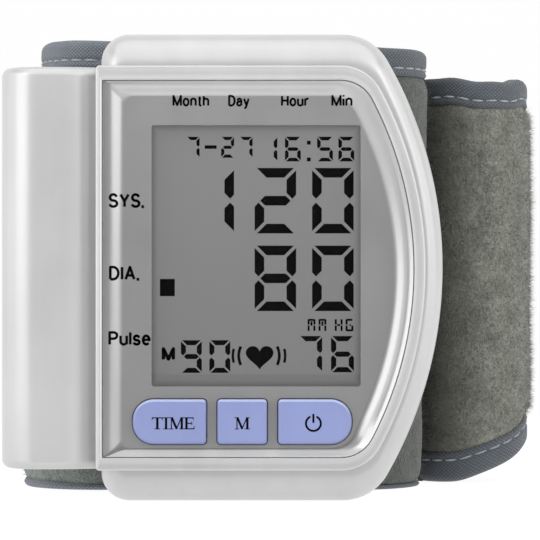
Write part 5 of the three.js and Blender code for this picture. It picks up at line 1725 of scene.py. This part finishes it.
def tip_tape(name, band):
    """Tape folded over a band's tip, and tucked in at top and bottom."""
    tip = band.tip
    line = fold_line(band.thickness(tip), band.tip_hem, TAPE_WIDTH, STITCH_DROP)
    inner = under_side(line)
    lengths = run_lengths(line)
    low, high = band.low(tip), band.high(tip)
    parts = [
        (line + inner[::-1], lengths + lengths[::-1], spread(low, high, TIP_ROWS)),
        (inner, lengths, [low + TUCK_DROP, low + TUCK_DROP + CLOTH_EDGE]),
        (inner, lengths, [high - TUCK_DROP - CLOTH_EDGE, high - TUCK_DROP]),
    ]
    skins, marks = [], []
    for section, across, heights in parts:
        spots = [(tip + band.way * drop, depth) for depth, drop in section]
        skins.append(skin([[band.path.spot(*spot, z) for spot in spots] for z in heights]))
        marks += [(z, length) for z in heights for length in across]
    return new_piece(name, gather(skins), band.tape_finish, TAPE_SHARP, marks)


def stitch_row(band, run, length, side, long_stitch):
    """Stitches along a run, which gives along and height: side is -1 on the outside and 1 on the inside."""
    pitch = long_stitch + STITCH_GAP
    around = spread(0, 2 * math.pi, THREAD_SIDES)[:-1]
    skins = []
    for i in range(int(length / pitch)):
        rings = []
        for share in spread(0, 1, STITCH_STEPS):
            along, z = run((i + STITCH_START) * pitch + share * long_stitch)
            lift = math.sin(math.pi * share)
            radius = THREAD_RADIUS * lerp(THREAD_END, 1, lift)
            base = band.thickness(along) if side > 0 else 0.0
            middle = base + side * (TAPE_OUT - TAPE_PINCH - STITCH_SINK + STITCH_LIFT * lift)
            section = [(middle + radius * math.cos(a), z + radius * math.sin(a)) for a in around]
            rings.append([band.path.spot(along, depth, height) for depth, height in section])
        skins.append(skin(rings))
    return skins


def fuzz(name, band, runs, seed, material):
    """Loose fibres standing off the pile: runs hold a start, an end and a count."""
    pick = random.Random(seed)
    points, faces = [], []
    places = [(start, end) for start, end, count in runs for _ in range(count)]
    while places:
        along = pick.uniform(*places[-1])
        z = pick.uniform(band.low(along), band.high(along))
        if band.inside_hems(along, z) < FIBRE_CLEAR or band.free(along) < FIBRE_FREE:
            continue
        places.pop()
        root = Vector(band.path.spot(along, FIBRE_ROOT - band.pile(along, z), z))
        out = (Vector(band.path.spot(along, -1, z)) - Vector(band.path.spot(along, 0, z))).normalized()
        bend = Vector((pick.gauss(0, 1), pick.gauss(0, 1), pick.gauss(0, 1))).normalized()
        tip = root + (out * FIBRE_OUT + bend * FIBRE_BEND).normalized() * pick.uniform(*FIBRE_LENGTH)
        side = out.cross(bend).normalized()
        other = out.cross(side).normalized()
        width = pick.uniform(*FIBRE_RADIUS)
        foot = [root + (side * math.cos(a) + other * math.sin(a)) * width for a in FOOT_ANGLES]
        first = len(points)
        points += [at(*place) for place in foot + [tip]]
        faces += [tuple(first + corner for corner in face) for face in FIBRE_FACES]
    return new_piece(name, (points, faces), material, FIBRE_SHARP)


def build_cloths(band, lining_near, lining_far):
    """The cover, lining and three tapes of a band."""
    name = band.name
    cloth = band.run(CLOTH_EDGE)
    cover_far = lambda along, z: COVER_CLOTH
    full_hem = lambda along: TAPE_WIDTH
    cover = cloth_sheet(f"{name}_plush_cover", band, *cloth, band.pile_top, cover_far, band.plush_finish)
    lining = cloth_sheet(f"{name}_knit_lining", band, *cloth, lining_near, lining_far, lining_finish)
    upper = edge_tape(f"{name}_upper_tape", band, band.high, -1, full_hem, STITCH_DROP)
    lower = edge_tape(f"{name}_lower_tape", band, band.low, 1, band.lower_hem, band.low_stitch)
    return cover, lining, upper, lower, tip_tape(f"{name}_tip_tape", band)


def build_loop():
    """The loop's cloths, stitches and fibres."""

    def lining_near(along, z):
        return towards_strap(along, LINING_NEAR, STRAP_LINING_NEAR)

    def lining_far(along, z):
        x, y, _ = LOOP_PATH.spot(along, 0, z)
        bend = smooth(abs(x), *FOLD_SIDES) * (1 - smooth(abs(y - LOOP_BACK + FOLD_FRONT), *FOLD_SPAN))
        fold = FOLD_HEIGHT * bend * math.sin(along * FOLD_RATE)
        fold += LINING_RIPPLE * noise.noise(Vector((x, y, z)) * RIPPLE_SCALE)
        return loop_thickness(along) + fold * smooth(min(z, CUFF_HEIGHT - z), *FOLD_MARGIN)

    cloths = build_cloths(LOOP, lining_near, lining_far)
    start, end = LOOP.run(LOOP_TIP_HEM - TAPE_LAP)
    top_run = lambda s: (start + s, loop_high(start + s) - STITCH_DROP)
    low_run = lambda s: (start + s, STITCH_DROP)
    tip_run = lambda s: (STITCH_DROP, TAPE_WIDTH + s)
    tall = CUFF_HEIGHT - 2 * TAPE_WIDTH
    rows = stitch_row(LOOP, low_run, end - start, 1, LONG_STITCH)
    for side in (-1, 1):
        rows += stitch_row(LOOP, top_run, end - start, side, LONG_STITCH)
        rows += stitch_row(LOOP, tip_run, tall, side, LONG_STITCH)
    stitches = new_piece("loop_stitches", gather(rows), thread_finish, CLOTH_SHARP)
    fibres = fuzz("loop_fuzz", LOOP, [(0, end, LOOP_FIBRES)], LOOP_SEED, loop_plush_finish)
    return *cloths, stitches, fibres


def build_strap():
    """The strap's cloths, stitches and fibres."""

    def lining_near(along, z):
        return STRAP_LINING_NEAR

    def lining_far(along, z):
        place = Vector(STRAP_PATH.spot(along, 0, z))
        return STRAP_THICKNESS + STRAP_RIPPLE * noise.noise(place * STRAP_RIPPLE_SCALE)

    cloths = build_cloths(STRAP, lining_near, lining_far)
    _, taped = STRAP.run(STRAP_TIP_HEM - TAPE_LAP)
    at_tip = STRAP_PATH.length - STITCH_DROP
    top_run = lambda s: (s, strap_high(s) - STITCH_DROP)
    low_run = lambda s: (s, strap_low(s) + STRAP_LOWER_STITCH)
    tip_run = lambda s: (at_tip, strap_low(at_tip) + TAPE_WIDTH + s)
    tall = strap_high(at_tip) - strap_low(at_tip) - 2 * TAPE_WIDTH
    rows = stitch_row(STRAP, tip_run, tall, 1, LONG_STITCH)
    for side in (-1, 1):
        rows += stitch_row(STRAP, top_run, taped, side, UPPER_STITCH)
        rows += stitch_row(STRAP, low_run, taped, side, LOWER_STITCH)
    stitches = new_piece("strap_stitches", gather(rows), thread_finish, CLOTH_SHARP)
    loose = along_bulge(LOOSE_ANGLE)
    _, end = STRAP.run(CLOTH_EDGE)
    runs = [(0, loose, WRAPPED_FIBRES), (loose, end, LOOSE_FIBRES)]
    fibres = fuzz("strap_fuzz", STRAP, runs, STRAP_SEED, strap_fuzz_finish)
    return *cloths, stitches, fibres


def build_hook_patch():
    """Hook tape inside the strap's end: a thin base with rows of bent hooks."""
    start = STRAP_PATH.length - HOOK_LENGTH
    end = STRAP_PATH.length - HOOK_MARGIN
    face = HOOK_NEAR + HOOK_BASE
    rings = []
    for along in spread(start, end, HOOK_STEPS):
        low, high = strap_low(along) + HOOK_MARGIN, strap_high(along) - HOOK_MARGIN
        section = [(HOOK_NEAR, low), (face, low), (face, high), (HOOK_NEAR, high)]
        rings.append([STRAP_PATH.spot(along, depth, z) for depth, z in section])
    skins = [skin(rings)]
    for i in range(int((end - start - HOOK_INSET) / HOOK_PITCH)):
        along = start + HOOK_INSET + i * HOOK_PITCH
        low = strap_low(along) + HOOK_MARGIN + HOOK_INSET
        high = strap_high(along) - HOOK_MARGIN - HOOK_INSET
        for j in range(int((high - low) / HOOK_PITCH)):
            z = low + (j + 0.5 * (i % 2)) * HOOK_PITCH
            hook = []
            for rise, bend, half in HOOK_PROFILE:
                depth = face - HOOK_SINK + rise * HOOK_HEIGHT
                corners = box(-half, -half, half, half)
                hook.append([STRAP_PATH.spot(along + bend + da, depth, z + dz) for da, dz in corners])
            skins.append(skin(hook))
    return new_piece("hook_patch_tape", gather(skins), black_finish)


# Stage: a white sweep, lamps and camera
SWEEP_SHINE = 0.86
SWEEP_GLOW = 1.09
SWEEP_STEPS = 16
PAPER = grey(0.9)
WHITE = grey(1)
WORLD_LEVEL = 0.15
LAMP_AIM = (7.5, 10, 36)
# Lamps aimed at the case: degrees to the right of the camera and up, distance, width, height, radiance
LAMPS = [
    ("top_lamp", 0, 48, 250, 500, 230, 1.32),
    ("overhead_lamp", 0, 88, 400, 640, 260, 1.4),
    ("left_lamp", -56, 8, 600, 390, 620, 2.8),
    ("right_lamp", 46, 8, 600, 330, 620, 2.2),
    ("left_edge_lamp", -94, 8, 600, 360, 620, 1.2),
    ("right_edge_lamp", 84, 8, 600, 420, 620, 1.6),
]
FLOOR_CARD = (7.5, -50, 1.5)
FLOOR_CARD_SIZE = (130, 50)
FLOOR_CARD_RADIANCE = 0.4
CAMERA_PLACE = (7.5, -500, 36.1)
LENS = 216
SENSOR = 36
# Nearest and farthest sight of the camera, in metres
CLIP = (0.01, 20)


def build_floor():
    """A white sweep: floor, a wide curve and a wall behind."""
    wide, front, back, turn, tall = 3000, -430, 900, 500, 2500
    profile = [(front, 0), (0, 0), (back, 0)]
    curve = spread(0, QUARTER, SWEEP_STEPS)[1:]
    profile += [(back + turn * math.sin(a), turn * (1 - math.cos(a))) for a in curve]
    profile.append((back + turn, tall))
    points = [at(x, y, z) for y, z in profile for x in (-wide, wide)]
    faces = [(2 * i, 2 * i + 1, 2 * i + 3, 2 * i + 2) for i in range(len(profile) - 1)]
    mesh = bpy.data.meshes.new("white_sweep")
    mesh.from_pydata(points, [], faces)
    mesh.shade_smooth()
    mesh.materials.append(sweep_finish())
    floor = add_object("white_sweep", mesh)


def sweep_finish():
    """White paper, lit through from behind, that keeps a share of the object's shadow."""
    material = bpy.data.materials.new("white_paper")
    material.use_nodes = True
    tree = material.node_tree
    start = Shade(tree)
    paper = start.node("ShaderNodeBsdfDiffuse", {}, {"Color": colour(PAPER)})
    white = start.node("ShaderNodeEmission", {}, {"Color": colour(WHITE), "Strength": SWEEP_GLOW})
    mixed = start.node("ShaderNodeMixShader", {}, {0: SWEEP_SHINE, 1: paper, 2: white})
    tree.links.new(mixed.socket, tree.nodes["Material Output"].inputs["Surface"])
    material.cycles.emission_sampling = "NONE"
    return material


def build_world():
    world = bpy.data.worlds.new("studio")
    bpy.context.scene.world = world
    world.use_nodes = True
    backdrop = world.node_tree.nodes["Background"]
    backdrop.inputs["Color"].default_value = colour(WHITE)
    backdrop.inputs["Strength"].default_value = WORLD_LEVEL


def softbox(name, place, way, width, height, radiance):
    """A soft lamp at a place, facing against a way, with sizes in millimetres."""
    lamp = bpy.data.lights.new(name, "AREA")
    lamp.shape = "RECTANGLE"
    lamp.size = width * MM
    lamp.size_y = height * MM
    lamp.energy = radiance * math.pi * lamp.size * lamp.size_y
    holder = add_object(name, lamp)
    holder.location = place
    holder.rotation_euler = way.to_track_quat("Z", "Y").to_euler()
    holder.visible_camera = False


def build_lights():
    for name, azimuth, elevation, distance, width, height, radiance in LAMPS:
        a, e = math.radians(azimuth), math.radians(elevation)
        way = Vector((math.sin(a) * math.cos(e), -math.cos(a) * math.cos(e), math.sin(e)))
        softbox(name, at(*LAMP_AIM) + way * distance * MM, way, width, height, radiance)
    softbox("floor_card", at(*FLOOR_CARD), Vector((0, 0, -1)), *FLOOR_CARD_SIZE, FLOOR_CARD_RADIANCE)


def build_camera():
    camera = bpy.data.cameras.new("camera")
    camera.lens = LENS
    camera.sensor_width = SENSOR
    camera.clip_start, camera.clip_end = CLIP
    holder = add_object("camera", camera)
    holder.location = at(*CAMERA_PLACE)
    holder.rotation_euler = (QUARTER, 0, 0)
    bpy.context.scene.camera = holder


# Dressing: rigid pieces go on their bodies, and the nodes that a piece stands for are hidden


def stand_for(piece, nodes):
    """Hides the nodes that a piece stands for."""
    if nodes:
        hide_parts(*nodes)
    return piece


def dress(piece, body, slot, *nodes):
    """A rigid piece on its body."""
    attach(piece, body)
    return stand_for(piece, nodes)


def bend_with_strap(piece, slot, *nodes):
    """A cloth piece of the strap, with its place baked into its points."""
    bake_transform(piece)
    return stand_for(piece, nodes)


def dress_case():
    dress(build_front_housing(), "monitor", "case_grey", "front_housing")
    dress(build_rear_housing(), "monitor", "case_grey", "rear_housing")
    dress(build_bezel(), "monitor", "case_grey", "display_bezel")
    panel = build_face_panel()
    dress(build_panel_words(panel), "monitor", "black_plastic")
    dress(panel, "monitor", "panel_grey", "face_panel")
    dress(build_battery_cover(), "battery_cover", "case_grey", "battery_cover")
    dress(build_display_marks(), "monitor", "lcd_glass")


def dress_buttons():
    base = BUTTON_BOTTOM + WORD_RISE
    time_letters = [letter_t, letter_i, letter_m, letter_e]
    rows = [
        ("time", TIME_BUTTON, serif_word(time_letters, TIME_MIDDLE, base, WORD_HEIGHT)),
        ("memory", MEMORY_BUTTON, serif_word([letter_m], MEMORY_MIDDLE, base, WORD_HEIGHT)),
        ("power", POWER_BUTTON, power_symbol(*POWER_SYMBOL)),
    ]
    for name, shape, polygons in rows:
        body = f"{name}_button"
        cap = build_button(f"{name}_button_cap", shape)
        label = ink(f"{name}_button_print", polygons, front_of(cap), button_print_finish)
        dress(label, body, "black_plastic")
        dress(cap, body, "button_blue", body)


# Slots of a band's pieces, and the ends of the names of the nodes that they stand for
BAND_SLOTS = [
    ("plush_cloth", ["cover"]),
    ("lining_cloth", ["lining"]),
    ("binding_tape", ["binding_upper"]),
    ("binding_tape", ["binding_lower"]),
    ("binding_tape", ["binding_tip"]),
    ("binding_tape", []),
    ("plush_cloth", []),
]


def dress_cuff():
    pieces = build_loop()
    for piece, (slot, nodes) in zip(pieces, BAND_SLOTS):
        dress(piece, "monitor", slot, *(f"cuff_{node}" for node in nodes))


def dress_strap():
    pieces = build_strap()
    for piece, (slot, nodes) in zip(pieces, BAND_SLOTS):
        bend_with_strap(piece, slot, *(f"strap_{node}" for node in nodes))
    hooks = dress(build_hook_patch(), "cuff_strap", "black_plastic", "strap_hook_patch")


# Inner parts whose solids are already right, by finish
NODE_FINISHES = [
    (lens_finish, ["display_lens"]),
    (display_finish, ["lcd_glass"]),
    (board_finish, ["main_board"]),
    (white_finish, ["lcd_frame", "air_manifold", "cuff_nozzle", "cuff_stay"]),
    (black_finish, ["battery_tray", "time_switch", "memory_switch", "power_switch", "controller_chip"]),
    (black_finish, ["buzzer", "pump_head", "pressure_sensor", "cuff_mount_plate"]),
    (steel_finish, ["housing_screw_lower_left", "housing_screw_lower_right"]),
    (steel_finish, ["housing_screw_upper_left", "housing_screw_upper_right", "pump_motor", "release_valve"]),
    (spring_finish, ["front_cell_spring", "rear_cell_spring", "front_cell_contact", "rear_cell_contact"]),
    (rubber_finish, ["zebra_strip_lower", "zebra_strip_upper", "pump_cradle"]),
    (silicone_finish, ["pump_hose", "valve_hose", "sensor_hose", "cuff_bladder"]),
]
# The pale band of a cell's wrap, in distances from its positive end
PALE_BAND = (4, 12)


def dress_nodes():
    for material, names in NODE_FINISHES:
        for name in names:
            paint_node(name, material)
    near, far = PALE_BAND
    for name, positive_up in (("front_cell", True), ("rear_cell", False)):
        low, high = (corner.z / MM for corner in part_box(name))
        band = (high - far, high - near) if positive_up else (low + near, low + far)
        paint_node(name, finish(f"{name}_wrap", {"Metallic": 0.35}, wrap_paint(*band)))


def paint_node(name, material):
    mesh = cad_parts[name].data
    mesh.materials.clear()
    mesh.materials.append(material)


bpy.context.scene.view_settings.view_transform = "Standard"
build_camera()
build_floor()
build_world()
build_lights()
dress_case()
dress_buttons()
dress_cuff()
dress_strap()
dress_nodes()
